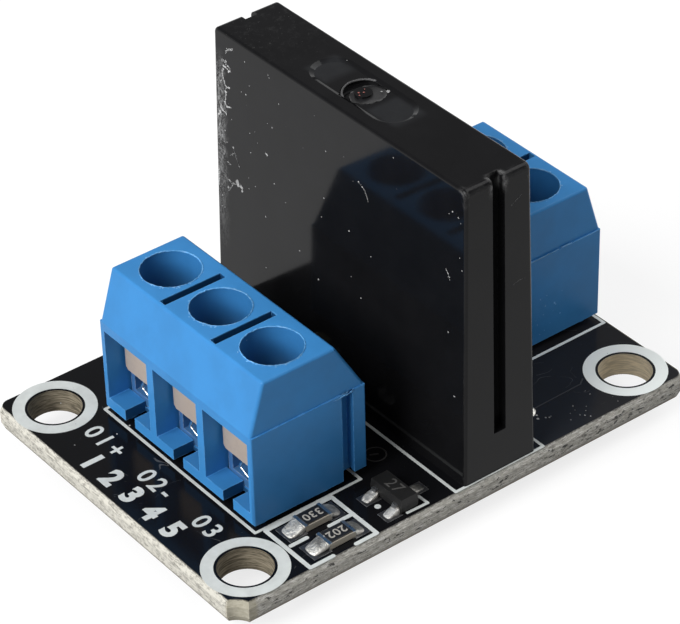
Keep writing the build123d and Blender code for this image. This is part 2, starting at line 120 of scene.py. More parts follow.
class Slot(Enum):
    """Material slots of the record."""

    MASK = "solder_mask"
    RELAY = "relay_plastic"
    RESIN = "relay_base_resin"
    BLUE = "blue_plastic"
    TIN = "tinned_metal"
    CONTACT = "contact_metal"
    CAGE = "cage_metal"
    SCREW = "screw_metal"
    SOLDER = "solder"
    CERAMIC = "chip_ceramic"
    GLAZE = "dark_glaze"
    MOULD = "mould_compound"
    LENS = "lens_resin"


class Graph:
    """Short typed calls that add nodes to one node tree and join them."""

    def __init__(self, tree: bpy.types.NodeTree) -> None:
        """Keeps the tree that the nodes go into."""
        self.tree = tree

    def feed(self, socket: Socket, value: Value) -> None:
        """Links a socket to another, or sets its constant.

        Args:
            socket: The input socket.
            value: An output socket, a number or a colour.
        """
        if isinstance(value, bpy.types.NodeSocket):
            self.tree.links.new(value, socket)
        elif hasattr(value, "__len__") and len(socket.default_value) == len(value) + 1:
            socket.default_value = (*value, 1.0)
        else:
            socket.default_value = value

    def node(self, kind: str, feeds: Mapping[Union[str, int], Value] = (), **settings: object) -> bpy.types.Node:
        """Adds a node.

        Args:
            kind: The node's type name.
            feeds: What goes into its inputs, by name or number.
            settings: The node's own properties.

        Returns:
            The new node.
        """
        node = self.tree.nodes.new(kind)
        for name, value in settings.items():
            setattr(node, name, value)
        for key, value in dict(feeds).items():
            self.feed(node.inputs[key], value)
        return node

    def maths(self, operation: str, *values: Value, clamp: bool = False) -> Socket:
        """Adds a Math node.

        Args:
            operation: The operation's name.
            values: Its inputs in order.
            clamp: Whether the result is held between 0 and 1.

        Returns:
            The result.
        """
        node = self.node("ShaderNodeMath", dict(enumerate(values)), operation=operation, use_clamp=clamp)
        return node.outputs[0]

    def chain(self, operation: str, first: Value, *others: Value) -> Value:
        """Joins numbers one after another with the same operation.

        Args:
            operation: The operation's name.
            first: The first number.
            others: The other numbers.

        Returns:
            The result.
        """
        for other in others:
            first = self.maths(operation, first, other)
        return first

    def times(self, *values: Value) -> Value:
        """Multiplies numbers."""
        return self.chain("MULTIPLY", *values)

    def most(self, *values: Value) -> Value:
        """Gives the largest of several numbers."""
        return self.chain("MAXIMUM", *values)

    def vector(self, operation: str, *values: Value) -> bpy.types.NodeOutputs:
        """Adds a Vector Math node.

        Args:
            operation: The operation's name.
            values: Its inputs in order.

        Returns:
            The outputs, of which 0 is the vector and "Value" the number.
        """
        return self.node("ShaderNodeVectorMath", dict(enumerate(values)), operation=operation).outputs

    def scaled(self, vector: Socket, factors: Sequence[float]) -> Socket:
        """Multiplies a vector's three parts by their own factors."""
        return self.vector("MULTIPLY", vector, tuple(factors))[0]

    def reach(self, flat: Socket, spot: Point) -> Socket:
        """Measures how far flattened coordinates lie from a spot."""
        return self.vector("LENGTH", self.vector("SUBTRACT", flat, (*spot, 0.0))[0])["Value"]

    def mix(self, factor: Value, first: Value, second: Value) -> Socket:
        """Mixes two colours.

        Args:
            factor: How much of the second shows.
            first: The first colour.
            second: The second colour.

        Returns:
            The mixed colour.
        """
        feeds = {0: factor, 6: first, 7: second}
        return self.node("ShaderNodeMix", feeds, data_type="RGBA", clamp_factor=True).outputs[2]

    def blend(self, factor: Value, first: Value, second: Value) -> Socket:
        """Mixes two numbers.

        Args:
            factor: How much of the second shows.
            first: The first number.
            second: The second number.

        Returns:
            The mixed number.
        """
        feeds = {0: factor, 2: first, 3: second}
        return self.node("ShaderNodeMix", feeds, data_type="FLOAT", clamp_factor=True).outputs[0]

    def step(self, value: Value, low: Value, high: Value) -> Socket:
        """Rises smoothly from 0 at low to 1 at high, or falls where low is the larger.

        Args:
            value: The number that is tested.
            low: Where the result is 0.
            high: Where the result is 1.

        Returns:
            The smooth step.
        """
        return self.node("ShaderNodeMapRange", {0: value, 1: low, 2: high},
                         interpolation_type="SMOOTHSTEP").outputs[0]

    def above(self, value: Value, limit: Value) -> Socket:
        """Is 1 where a number is over a limit."""
        return self.maths("GREATER_THAN", value, limit)

    def below(self, value: Value, limit: Value) -> Socket:
        """Is 1 where a number is under a limit."""
        return self.maths("LESS_THAN", value, limit)

    def noise(self, place: Socket, scale: Value, detail: float = 3.0, roughness: float = 0.5,
              distortion: float = 0.0) -> Socket:
        """Adds a Noise texture.

        Args:
            place: The coordinates.
            scale: Cells for each unit of the coordinates.
            detail: Octaves of finer noise.
            roughness: How strong the finer octaves are.
            distortion: How much the pattern is warped.

        Returns:
            The noise between 0 and 1.
        """
        return self.node("ShaderNodeTexNoise", {"Vector": place, "Scale": scale, "Detail": detail,
                                                "Roughness": roughness, "Distortion": distortion}).outputs[0]

    def split(self, vector: Socket) -> tuple[Socket, Socket, Socket]:
        """Gives a vector's X, Y and Z."""
        return tuple(self.node("ShaderNodeSeparateXYZ", {0: vector}).outputs)

    def bump(self, height: Socket, distance: float) -> Socket:
        """Turns a height map into a normal, with the full height in millimetres."""
        return self.node("ShaderNodeBump", {"Strength": 1.0, "Distance": distance * MILLIMETRE,
                                            "Height": height}).outputs[0]


@dataclass(frozen=True)
class Pattern:
    """A noise pattern, cut between two levels where it serves as a mask."""

    scale: float
    detail: float
    roughness: float
    levels: Point = (0.0, 1.0)
    stretch: Triple = (1.0, 1.0, 1.0)
    share: float = 1.0

    def noise(self, graph: Graph, place: Socket) -> Socket:
        """Gives the noise itself."""
        return graph.noise(graph.scaled(place, self.stretch), self.scale, self.detail, self.roughness)

    def mask(self, graph: Graph, place: Socket) -> Socket:
        """Gives the noise cut at its levels, times its share."""
        return graph.times(graph.step(self.noise(graph, place), *self.levels), self.share)


class SharedGroup:
    """A node group that several finishes use, built the first time that it is placed."""

    title: str = ""
    inputs: Mapping[str, float] = {}
    outputs: tuple[str, ...] = ("Mask",)

    def wire(self, graph: Graph, given: Mapping[str, Socket]) -> tuple[Socket, ...]:
        """Adds the group's nodes and gives what goes to its outputs.

        Args:
            graph: The group's graph.
            given: The sockets of its inputs by name, with the coordinates as "Place".

        Returns:
            One socket for each output.
        """
        raise NotImplementedError

    def tree(self) -> bpy.types.NodeTree:
        """Builds the group once.

        Returns:
            The shared node tree.
        """
        found = bpy.data.node_groups.get(self.title)
        if found:
            return found
        tree = bpy.data.node_groups.new(self.title, "ShaderNodeTree")
        tree.interface.new_socket(name="Place", in_out="INPUT", socket_type="NodeSocketVector")
        for name, usual in self.inputs.items():
            socket = tree.interface.new_socket(name=name, in_out="INPUT", socket_type="NodeSocketFloat")
            socket.default_value = usual
        for name in self.outputs:
            tree.interface.new_socket(name=name, in_out="OUTPUT", socket_type="NodeSocketFloat")
        graph = Graph(tree)
        results = self.wire(graph, graph.node("NodeGroupInput").outputs)
        graph.node("NodeGroupOutput", dict(enumerate(results)))
        return tree

    def place(self, graph: Graph, place: Socket, **amounts: Value) -> Mapping[str, Socket]:
        """Places the group in a material.

        Args:
            graph: The material's graph.
            place: The coordinates.
            amounts: The group's other inputs by their names in small letters.

        Returns:
            The group's outputs.
        """
        feeds = {"Place": place, **{name.title(): value for name, value in amounts.items()}}
        return graph.node("ShaderNodeGroup", feeds, node_tree=self.tree()).outputs


class EdgeWear(SharedGroup):
    """Marks the edges of a solid, broken up by noise."""

    title = "edge wear"
    inputs = {"Radius": 0.0001, "Scale": 4.0, "Amount": 0.5}
    turned: Point = (0.995, 0.9)
    broken: Point = (0.38, 0.62)

    def wire(self, graph: Graph, given: Mapping[str, Socket]) -> tuple[Socket, ...]:
        """Compares the rounded normal with the face's own.

        Args:
            graph: The group's graph.
            given: The sockets of its inputs by name.

        Returns:
            The mask.
        """
        rounded = graph.node("ShaderNodeBevel", {"Radius": given["Radius"]}, samples=6).outputs[0]
        surface = graph.node("ShaderNodeNewGeometry").outputs["Normal"]
        edge = graph.step(graph.vector("DOT_PRODUCT", rounded, surface)["Value"], *self.turned)
        broken = graph.step(graph.noise(given["Place"], given["Scale"], 4.0, 0.65), *self.broken)
        return (graph.times(edge, broken, given["Amount"]),)


class MouldGrain(SharedGroup):
    """Soft tone patches and a fine uneven skin, as on moulded plastic."""

    title = "mould grain"
    inputs = {"Coarse": 0.6, "Fine": 18.0}
    outputs = ("Tone", "Height")
    slow_share: float = 0.35

    def wire(self, graph: Graph, given: Mapping[str, Socket]) -> tuple[Socket, ...]:
        """Adds slow patches to a fine skin.

        Args:
            graph: The group's graph.
            given: The sockets of its inputs by name.

        Returns:
            The tone and the height.
        """
        tone = graph.noise(given["Place"], given["Coarse"], 4.0, 0.6)
        fine = graph.noise(given["Place"], given["Fine"], 3.0, 0.55)
        return tone, graph.blend(self.slow_share, fine, tone)


class DustSpecks(SharedGroup):
    """Small pale specks of dust."""

    title = "dust specks"
    inputs = {"Scale": 1.5, "Size": 0.08, "Share": 0.4}
    wobble: float = 0.12
    wobble_scale: float = 9.0
    least: float = 0.25
    softness: float = 0.015

    def wire(self, graph: Graph, given: Mapping[str, Socket]) -> tuple[Socket, ...]:
        """Keeps a share of the cells, each with a speck of its own size.

        Args:
            graph: The group's graph.
            given: The sockets of its inputs by name.

        Returns:
            The mask.
        """
        place = given["Place"]
        wobble = graph.scaled(graph.noise(place, self.wobble_scale, 2.0), (self.wobble,) * 3)
        cells = graph.node("ShaderNodeTexVoronoi", {"Vector": graph.vector("ADD", place, wobble)[0],
                                                    "Scale": given["Scale"], "Randomness": 1.0}).outputs
        kept, size, _ = graph.split(cells["Color"])
        reach = graph.times(given["Size"], graph.maths("ADD", size, self.least))
        speck = graph.step(graph.maths("SUBTRACT", reach, cells["Distance"]), 0.0, self.softness)
        return (graph.times(speck, graph.below(kept, given["Share"])),)


class HairScratches(SharedGroup):
    """Thin curved scratches in broken patches."""

    title = "hair scratches"
    inputs = {"Scale": 0.5, "Width": 0.004, "Share": 0.5}
    level: float = 0.5
    patch_scale: float = 0.9

    def wire(self, graph: Graph, given: Mapping[str, Socket]) -> tuple[Socket, ...]:
        """Takes the level line of a warped noise, where a second noise lets it show.

        Args:
            graph: The group's graph.
            given: The sockets of its inputs by name.

        Returns:
            The mask.
        """
        warped = graph.noise(given["Place"], given["Scale"], 1.5, 0.4, 0.6)
        away = graph.maths("ABSOLUTE", graph.maths("SUBTRACT", warped, self.level))
        shown = graph.below(graph.noise(given["Place"], self.patch_scale, 2.0), given["Share"])
        return (graph.times(graph.below(away, given["Width"]), shown),)


@dataclass(frozen=True)
class Finish:
    """A procedural material, built once by its name."""

    name: str
    roughness: float = 0.5
    gloss_range: Point = (0.8, 1.2)

    def material(self) -> bpy.types.Material:
        """Builds the material once.

        Returns:
            The material.
        """
        found = bpy.data.materials.get(self.name)
        if found:
            return found
        material = bpy.data.materials.new(self.name)
        material.use_nodes = True
        graph = Graph(material.node_tree)
        shader = material.node_tree.nodes["Principled BSDF"]
        place = graph.node("ShaderNodeTexCoord").outputs["Object"]
        self.wire(graph, shader, graph.scaled(place, (1.0 / MILLIMETRE,) * 3))
        return material

    def wire(self, graph: Graph, shader: bpy.types.Node, place: Socket) -> None:
        """Adds the nodes that feed the shader.

        Args:
            graph: The material's graph.
            shader: Its Principled BSDF.
            place: Object coordinates in millimetres.
        """
        raise NotImplementedError

    def gloss(self) -> list[float]:
        """Gives the least and the most roughness."""
        return [self.roughness * share for share in self.gloss_range]

    @staticmethod
    def surface(graph: Graph, shader: bpy.types.Node, colour: Socket, rough: Socket, normal: Socket) -> None:
        """Feeds the shader's colour, roughness and normal."""
        for name, value in (("Base Color", colour), ("Roughness", rough), ("Normal", normal)):
            graph.feed(shader.inputs[name], value)


@dataclass(frozen=True)
class MouldedPlastic(Finish):
    """Moulded plastic with slow tone patches, a fine skin, worn edges and dust."""

    colour: Colour = (0.5, 0.5, 0.5)
    worn: Colour = (0.6, 0.6, 0.6)
    # dust also colours the extra marks, which on the relay case include a painted highlight.
    dust: Colour = (0.62, 0.62, 0.6)
    roughness: float = 0.35
    specular: float = 0.5
    tone_share: float = 0.12
    tone_scale: float = 0.35
    skin_height: float = 0.004
    skin_scale: float = 18.0
    wear_radius: float = 0.08
    wear_scale: float = 2.2
    wear_amount: float = 0.5
    dust_scale: float = 1.1
    dust_size: float = 0.07
    dust_share: float = 0.25
    dust_roughness: float = 0.75
    gloss_levels: Point = (0.25, 0.75)
    gloss_range: Point = (0.85, 1.15)

    def wire(self, graph: Graph, shader: bpy.types.Node, place: Socket) -> None:
        """Layers tone, worn edges and dust over the plastic's colour.

        Args:
            graph: The material's graph.
            shader: Its Principled BSDF.
            place: Object coordinates in millimetres.
        """
        grain = MouldGrain().place(graph, place, coarse=self.tone_scale, fine=self.skin_scale)
        wear = EdgeWear().place(graph, place, radius=self.wear_radius * MILLIMETRE, scale=self.wear_scale,
                                amount=self.wear_amount)["Mask"]
        marks = DustSpecks().place(graph, place, scale=self.dust_scale, size=self.dust_size,
                                   share=self.dust_share)["Mask"]
        patch = graph.step(grain["Tone"], *TONE_LEVELS)
        colour = graph.mix(patch, *(toned(self.colour, 1.0 + way * self.tone_share) for way in (-1, 1)))
        colour = graph.mix(wear, self.extra_colour(graph, colour, place), self.worn)
        rough = graph.blend(graph.step(grain["Tone"], *self.gloss_levels), *self.gloss())
        # The extra marks take the dust colour; on the relay case they include a painted highlight.
        extra = self.extra_marks(graph, place)
        if extra is not None:
            marks = graph.most(marks, extra)
        self.surface(graph, shader, graph.mix(marks, colour, self.dust),
                     graph.blend(marks, rough, self.dust_roughness),
                     graph.bump(grain["Height"], self.skin_height))
        shader.inputs["Specular IOR Level"].default_value = self.specular

    def extra_colour(self, graph: Graph, colour: Socket, place: Socket) -> Socket:
        """Gives a finish the chance to change its colour by place."""
        return colour

    def extra_marks(self, graph: Graph, place: Socket) -> Union[Socket, None]:
        """Gives a finish the chance to add pale marks, painted highlights among them, by place."""
        return None


@dataclass(frozen=True)
class RelayPlastic(MouldedPlastic):
    """Glossy black case plastic, hazed along one upright edge and greyer in two patches of the label recess."""

    haze_y: Point = (11.15, 11.85)
    haze_x: Point = (0.45, 0.2)
    haze_low: Point = (5.0, 16.0)
    haze_high: Point = (21.2, 18.7)
    haze_ragged: float = 1.1
    haze_edge: Pattern = Pattern(0.9, 3.0, 0.5)
    smear: Pattern = Pattern(2.6, 6.0, 0.75, (0.42, 0.72), (1.0, 1.6, 0.7), 0.8)
    grit: Pattern = Pattern(9.0, 3.0, 0.8, (0.54, 0.62), share=0.7)
    # Painted highlight: pale rounded top edges at the front end of the case.
    highlight_radius: float = 0.5
    highlight_scale: float = 1.6
    highlight_y: Point = (-11.1, -11.6)
    highlight_z: Point = (20.9, 21.7)
    painted_highlight: float = 0.42
    cloud_z: Point = (22.1, 22.2)
    cloud_y: Point = (3.0, 10.0)
    cloud: Pattern = Pattern(1.9, 6.0, 0.75, (0.5, 0.8), share=0.05)
    cloud_flecks: Pattern = Pattern(6.0, 2.0, 0.7, (0.68, 0.76), share=0.16)
    recess_z: float = 22.0
    recess_x: tuple[Point, Point] = ((1.0, 1.5), (3.8, 3.3))
    patch_y: tuple[tuple[Point, Point], ...] = (((4.6, 4.0), (2.0, 2.9)), ((-1.2, -1.8), (-4.6, -3.7)))
    patch_grey: Colour = (0.02, 0.021, 0.023)
    patch_cloud: Pattern = Pattern(1.6, 4.0, 0.65)
    patch_range: Point = (0.45, 1.1)

    def extra_colour(self, graph: Graph, colour: Socket, place: Socket) -> Socket:
        """Greys two patches on the recess floor.

        Args:
            graph: The material's graph.
            colour: The colour so far.
            place: Object coordinates in millimetres.

        Returns:
            The changed colour.
        """
        x, y, z = graph.split(place)
        inside = graph.times(*(graph.step(x, *side) for side in self.recess_x))
        patches = [graph.times(*(graph.step(y, *end) for end in ends)) for ends in self.patch_y]
        cloud = graph.blend(self.patch_cloud.noise(graph, place), *self.patch_range)
        share = graph.times(graph.most(*patches), graph.above(z, self.recess_z), inside, cloud)
        return graph.mix(share, colour, self.patch_grey)

    def extra_marks(self, graph: Graph, place: Socket) -> Union[Socket, None]:
        """Rubs grey haze near the rear upright edge, paints a highlight on the front top edges and lays dust on
        the top.

        Args:
            graph: The material's graph.
            place: Object coordinates in millimetres.

        Returns:
            How much of the marks and the painted highlight shows.
        """
        x, y, z = graph.split(place)
        ragged = graph.maths("ADD", y, graph.times(self.haze_edge.noise(graph, place), self.haze_ragged))
        zone = graph.times(graph.step(ragged, *self.haze_y), graph.step(x, *self.haze_x),
                           graph.step(z, *self.haze_high), graph.step(z, *self.haze_low))
        haze = graph.times(graph.most(self.smear.mask(graph, place), self.grit.mask(graph, place)), zone)
        # Painted highlight: the worn-edge mask only finds the rounded front edges, which are painted pale.
        painted_highlight = EdgeWear().place(graph, place, radius=self.highlight_radius * MILLIMETRE, scale=self.highlight_scale,
                                 amount=1.0)["Mask"]
        painted_highlight = graph.times(painted_highlight, graph.step(y, *self.highlight_y), graph.step(z, *self.highlight_z), self.painted_highlight)
        paler = graph.maths("ADD", self.cloud.mask(graph, place), self.cloud_flecks.mask(graph, place))
        paler = graph.times(paler, graph.step(z, *self.cloud_z), graph.step(y, *self.cloud_y))
        return graph.most(haze, painted_highlight, paler)


@dataclass(frozen=True)
class HousingPlastic(MouldedPlastic):
    """Blue plastic with painted shade in the slots, down the screw wells and in the ledge notches."""

    shade: Colour = (0.004, 0.026, 0.085)
    under_top: float = 11.93
    shoulder: float = 8.4
    well_reach: float = 1.92
    well_deep: float = 9.2
    well_shades: Point = (0.25, 0.6)
    slots: tuple[Point, ...] = ((-8.75, 2.35), (-8.75, -2.65), (13.5, 0.4))
    slot_reach: Point = (2.2, 0.32)
    slot_shade: float = 0.85
    side_y: Point = (-7.45, -7.6)
    side_z: Point = (9.5, 1.6)
    side_shade: float = 0.4
    ledge_ahead: Point = (2.14, 3.65)
    ledge_half: float = 2.09
    ledge_top: float = 2.87
    notch_half: float = 0.51
    ledge_shades: Point = (0.3, 0.75)

    def extra_colour(self, graph: Graph, colour: Socket, place: Socket) -> Socket:
        """Paints shade into the wells and slots under the top face, the near side, the ledges and notches.

        Args:
            graph: The material's graph.
            colour: The colour so far.
            place: Object coordinates in millimetres.

        Returns:
            The changed colour.
        """
        x, y, z = graph.split(place)
        flat = graph.scaled(place, (1.0, 1.0, 0.0))
        # Painted shade down the screw wells and in the slots under the top face.
        deep = graph.blend(graph.step(z, self.under_top, self.well_deep), *self.well_shades)
        shares = [graph.times(graph.below(graph.reach(flat, well), self.well_reach), deep)
                  for well in INPUT_WELLS + OUTPUT_WELLS]
        for slot in self.slots:
            away = graph.vector("ABSOLUTE", graph.vector("SUBTRACT", flat, (*slot, 0.0))[0])[0]
            along, across, _ = graph.split(away)
            shares.append(graph.times(graph.below(along, self.slot_reach[0]),
                                      graph.below(across, self.slot_reach[1]), self.slot_shade))
        share = graph.times(graph.most(*shares), graph.below(z, self.under_top), graph.above(z, self.shoulder))
        # Painted shade that deepens towards the bottom of the near side.
        near = graph.times(graph.step(y, *self.side_y), graph.step(z, *self.side_z), self.side_shade)
        share = graph.most(share, near)
        # Painted shade on the ledge fronts, deepest in the notches.
        for well_x, well_y in INPUT_WELLS + OUTPUT_WELLS:
            ahead = graph.times(graph.maths("SUBTRACT", x, well_x), math.copysign(1.0, well_x))
            aside = graph.maths("ABSOLUTE", graph.maths("SUBTRACT", y, well_y))
            front = graph.times(graph.above(ahead, self.ledge_ahead[0]), graph.below(ahead, self.ledge_ahead[1]),
                                graph.below(aside, self.ledge_half), graph.below(z, self.ledge_top))
            depth = graph.blend(graph.below(aside, self.notch_half), *self.ledge_shades)
            share = graph.most(share, graph.times(front, depth))
        return graph.mix(share, colour, self.shade)


@dataclass(frozen=True)
class Metal(Finish):
    """Plated sheet or wire with drawn streaks, dull patches and worn edges."""

    colour: Colour = (0.7, 0.7, 0.7)
    dull: Colour = (0.45, 0.44, 0.42)
    worn: Colour = (0.85, 0.85, 0.84)
    roughness: float = 0.28
    streaks: Pattern = Pattern(6.0, 3.0, 0.6)
    dull_share: float = 0.35
    wear_radius: float = 0.06
    height: float = 0.004
    metallic: float = 1.0
    dull_levels: Point = (0.8, 1.2)
    gloss_range: Point = (0.6, 1.5)
    dull_gloss: float = 1.7

    def wire(self, graph: Graph, shader: bpy.types.Node, place: Socket) -> None:
        """Mixes bright and dull plating and lets streaks change the gloss.

        Args:
            graph: The material's graph.
            shader: Its Principled BSDF.
            place: Object coordinates in millimetres.
        """
        grain = MouldGrain().place(graph, place, coarse=0.8, fine=14.0)
        streaks = self.streaks.noise(graph, place)
        wear = EdgeWear().place(graph, place, radius=self.wear_radius * MILLIMETRE, scale=3.0, amount=0.6)["Mask"]
        patch = graph.step(grain["Tone"], *(level - self.dull_share for level in self.dull_levels))
        colour = graph.mix(wear, graph.mix(patch, self.colour, self.dull), self.worn)
        rough = graph.blend(streaks, *self.gloss())
        self.surface(graph, shader, colour, graph.blend(patch, rough, self.roughness * self.dull_gloss),
                     graph.bump(graph.blend(0.5, streaks, grain["Height"]), self.height))
        shader.inputs["Metallic"].default_value = self.metallic


@dataclass(frozen=True)
class Ink(Finish):
    """Screen-printed ink: flat, slightly uneven, with pinholes."""

    colour: Colour = (0.63, 0.66, 0.645)
    hole_colour: Colour = (0.16, 0.16, 0.17)
    pinholes: float = 0.15
    patch_tone: float = 0.86
    height: float = 0.006
    # Painted light: how much lighter the ink is painted towards the output side.
    far: float = 1.0
    far_x: Point = (7.0, 12.0)

    def wire(self, graph: Graph, shader: bpy.types.Node, place: Socket) -> None:
        """Adds tone patches, dark pinholes, a mesh-like skin and painted light towards the output side.

        Args:
            graph: The material's graph.
            shader: Its Principled BSDF.
            place: Object coordinates in millimetres.
        """
        grain = MouldGrain().place(graph, place, coarse=0.9, fine=9.0)
        patch = graph.step(grain["Tone"], *TONE_LEVELS)
        colour = graph.mix(patch, toned(self.colour, self.patch_tone), self.colour)
        # Painted light: the ink turns lighter towards the output side.
        painted_light_share = graph.step(graph.split(place)[0], *self.far_x)
        colour = graph.mix(painted_light_share, colour, toned(self.colour, self.far))
        holes = DustSpecks().place(graph, place, scale=2.6, size=0.07, share=self.pinholes)["Mask"]
        self.surface(graph, shader, graph.mix(holes, colour, self.hole_colour),
                     graph.blend(grain["Tone"], *self.gloss()),
                     graph.bump(grain["Height"], self.height))


@dataclass(frozen=True)
class BoardFinish(Finish):
    """Glossy black mask on the faces, bare laminate on the scored edges and in the holes."""

    skin: float = 0.004
    hole_reach: float = 1.78
    mask: Colour = (0.0055, 0.0056, 0.0066)
    # Painted light: the mask's lighter colour towards the output side.
    paler: Colour = (0.02, 0.0205, 0.0235)
    marked: Colour = (0.5, 0.5, 0.5)
    far_x: Point = (0.0, 8.0)
    rim_x: Point = (17.16, 17.26)
    rim: Colour = (0.3, 0.27, 0.2)
    edge: Colour = (0.66, 0.64, 0.57)
    edge_dark: Colour = (0.2, 0.19, 0.165)
    long_y: Point = (-12.0, -12.35)
    long_tone: Colour = (0.26, 0.25, 0.23)
    long_torn: Colour = (0.78, 0.77, 0.74)
    long_fleck: Colour = (0.02, 0.02, 0.02)
    bottom_z: Point = (0.12, -0.02)
    bottom: Colour = (0.2, 0.16, 0.11)
    lip_z: Point = (1.71, 1.77)
    lip: Colour = (0.05, 0.048, 0.045)
    relief_at: Point = (-17.0, -12.5)
    relief_reach: Point = (1.25, 0.95)
    relief: Colour = (0.4, 0.37, 0.28)
    wall: Colour = (0.3, 0.26, 0.19)
    wall_dark: Colour = (0.1, 0.085, 0.06)
    wall_far: Colour = (0.85, 0.74, 0.55)
    fibres: Pattern = Pattern(2.6, 6.0, 0.75, stretch=(0.7, 0.7, 8.0))
    chips: Pattern = Pattern(3.2, 4.0, 0.7)
    rings: Pattern = Pattern(3.0, 3.0, 0.6, (0.35, 0.65), (0.35, 0.35, 4.0))
    rings_far: float = 0.35
    line_share: float = 0.12
    rim_ragged: float = 0.08
    fray_mix: Point = (0.6, 0.4)
    fray_levels: Point = (0.54, 0.38)
    long_share: float = 0.5
    torn: Pattern = Pattern(1.7, 4.0, 0.7, (0.5, 0.6), (1.3, 1.3, 9.0), 0.7)
    flecks: Pattern = Pattern(1.7, 3.0, 0.7, stretch=(1.0, 1.0, 2.6))
    fleck_x: Point = (2.0, 12.0)
    fleck_low: Point = (0.6, 0.52)
    fleck_high: float = 0.63
    fleck_z: tuple[Point, Point] = ((0.35, 0.55), (1.45, 1.2))
    fleck_share: float = 0.9
    bottom_ragged: float = -0.25
    bottom_share: float = 0.85
    relief_share: float = 0.75
    lip_ragged: float = 0.4
    lip_share: float = 0.8
    bare_rough: float = 0.72
    mask_rough: Point = (0.1, 0.16)
    mark_rough: float = 0.6
    height: float = 0.03
    face_height: float = 0.12
    specular: float = 0.16

    def wire(self, graph: Graph, shader: bpy.types.Node, place: Socket) -> None:
        """Chooses mask, sawn edge or drilled wall by place.

        Args:
            graph: The material's graph.
            shader: Its Principled BSDF.
            place: Object coordinates in millimetres.
        """
        x, _, z = graph.split(place)
        faces = graph.maths("ADD", graph.above(z, BOARD_HEIGHT - self.skin), graph.below(z, self.skin), clamp=True)
        flat = graph.vector("ABSOLUTE", graph.scaled(place, (1.0, 1.0, 0.0)))[0]
        drilled = graph.below(graph.reach(flat, HOLE_AT), self.hole_reach)
        grain = MouldGrain().place(graph, place, coarse=0.5, fine=10.0)
        fibres = self.fibres.noise(graph, place)
        chips = self.chips.noise(graph, place)
        far = graph.step(x, *self.far_x)
        ringed = graph.times(self.rings.mask(graph, place), graph.blend(far, 1.0, self.rings_far))
        wall = graph.mix(ringed, graph.mix(far, self.wall, self.wall_far), self.wall_dark)
        bare = graph.mix(drilled, self.sawn(graph, place, fibres, chips), wall)
        specks = DustSpecks().place(graph, place, scale=0.9, size=0.055, share=0.16)["Mask"]
        lines = HairScratches().place(graph, place, scale=0.35, width=0.0016, share=0.42)["Mask"]
        marks = graph.most(specks, graph.times(lines, self.line_share))
        bared = graph.step(graph.maths("ADD", x, graph.times(chips, self.rim_ragged)), *self.rim_x)
        # Painted light: the mask is painted lighter towards the output side.
        masked = graph.mix(bared, graph.mix(far, self.mask, self.paler), self.rim)
        gloss = graph.blend(marks, graph.blend(grain["Tone"], *self.mask_rough), self.mark_rough)
        height = graph.blend(faces, graph.maths("ADD", fibres, chips), grain["Height"])
        self.surface(graph, shader, graph.mix(faces, bare, graph.mix(marks, masked, self.marked)),
                     graph.blend(faces, self.bare_rough, gloss),
                     graph.bump(graph.times(height, graph.blend(faces, 1.0, self.face_height)), self.height))
        shader.inputs["Specular IOR Level"].default_value = self.specular

    def sawn(self, graph: Graph, place: Socket, fibres: Socket, chips: Socket) -> Socket:
        """Colours the scored edges, which are darker and more torn on the near long side.

        Args:
            graph: The material's graph.
            place: Object coordinates in millimetres.
            fibres: Noise drawn out along the board.
            chips: Noise that is even all round.

        Returns:
            The colour.
        """
        x, y, z = graph.split(place)
        frayed = graph.maths("ADD", *(graph.times(*pair) for pair in zip((fibres, chips), self.fray_mix)))
        frayed = graph.step(frayed, *self.fray_levels)
        colour = graph.mix(frayed, self.edge, self.edge_dark)
        long_side = graph.step(y, *self.long_y)
        colour = graph.mix(graph.times(long_side, self.long_share), colour, self.long_tone)
        colour = graph.mix(graph.times(self.torn.mask(graph, place), long_side), colour, self.long_torn)
        under = graph.step(graph.maths("ADD", z, graph.times(chips, self.bottom_ragged)), *self.bottom_z)
        colour = graph.mix(graph.times(under, self.bottom_share), colour, self.bottom)
        middle = graph.times(*(graph.step(z, *levels) for levels in self.fleck_z))
        low = graph.blend(graph.step(x, *self.fleck_x), *self.fleck_low)
        flecks = graph.step(self.flecks.noise(graph, place), low, self.fleck_high)
        colour = graph.mix(graph.times(flecks, long_side, middle, self.fleck_share), colour, self.long_fleck)
        off = graph.reach(graph.scaled(place, (1.0, 1.0, 0.0)), self.relief_at)
        off = graph.step(off, *self.relief_reach)
        colour = graph.mix(graph.times(off, self.relief_share), colour, self.relief)
        crumbled = graph.step(graph.maths("ADD", z, graph.times(chips, self.lip_ragged)), *self.lip_z)
        return graph.mix(graph.times(crumbled, self.lip_share), colour, self.lip)


@dataclass(frozen=True)
class Ceramic(Finish):
    """Fired ceramic with fine speckle."""

    colour: Colour = (0.34, 0.31, 0.26)
    dark: Colour = (0.2, 0.18, 0.15)
    roughness: float = 0.55
    height: float = 0.01
    speckle: Pattern = Pattern(14.0, 3.0, 0.7, (0.45, 0.7), share=0.5)

    def wire(self, graph: Graph, shader: bpy.types.Node, place: Socket) -> None:
        """Adds speckle.

        Args:
            graph: The material's graph.
            shader: Its Principled BSDF.
            place: Object coordinates in millimetres.
        """
        grain = MouldGrain().place(graph, place, coarse=2.5, fine=22.0)
        self.surface(graph, shader, graph.mix(self.speckle.mask(graph, place), self.colour, self.dark),
                     graph.blend(grain["Tone"], *self.gloss()),
                     graph.bump(grain["Height"], self.height))


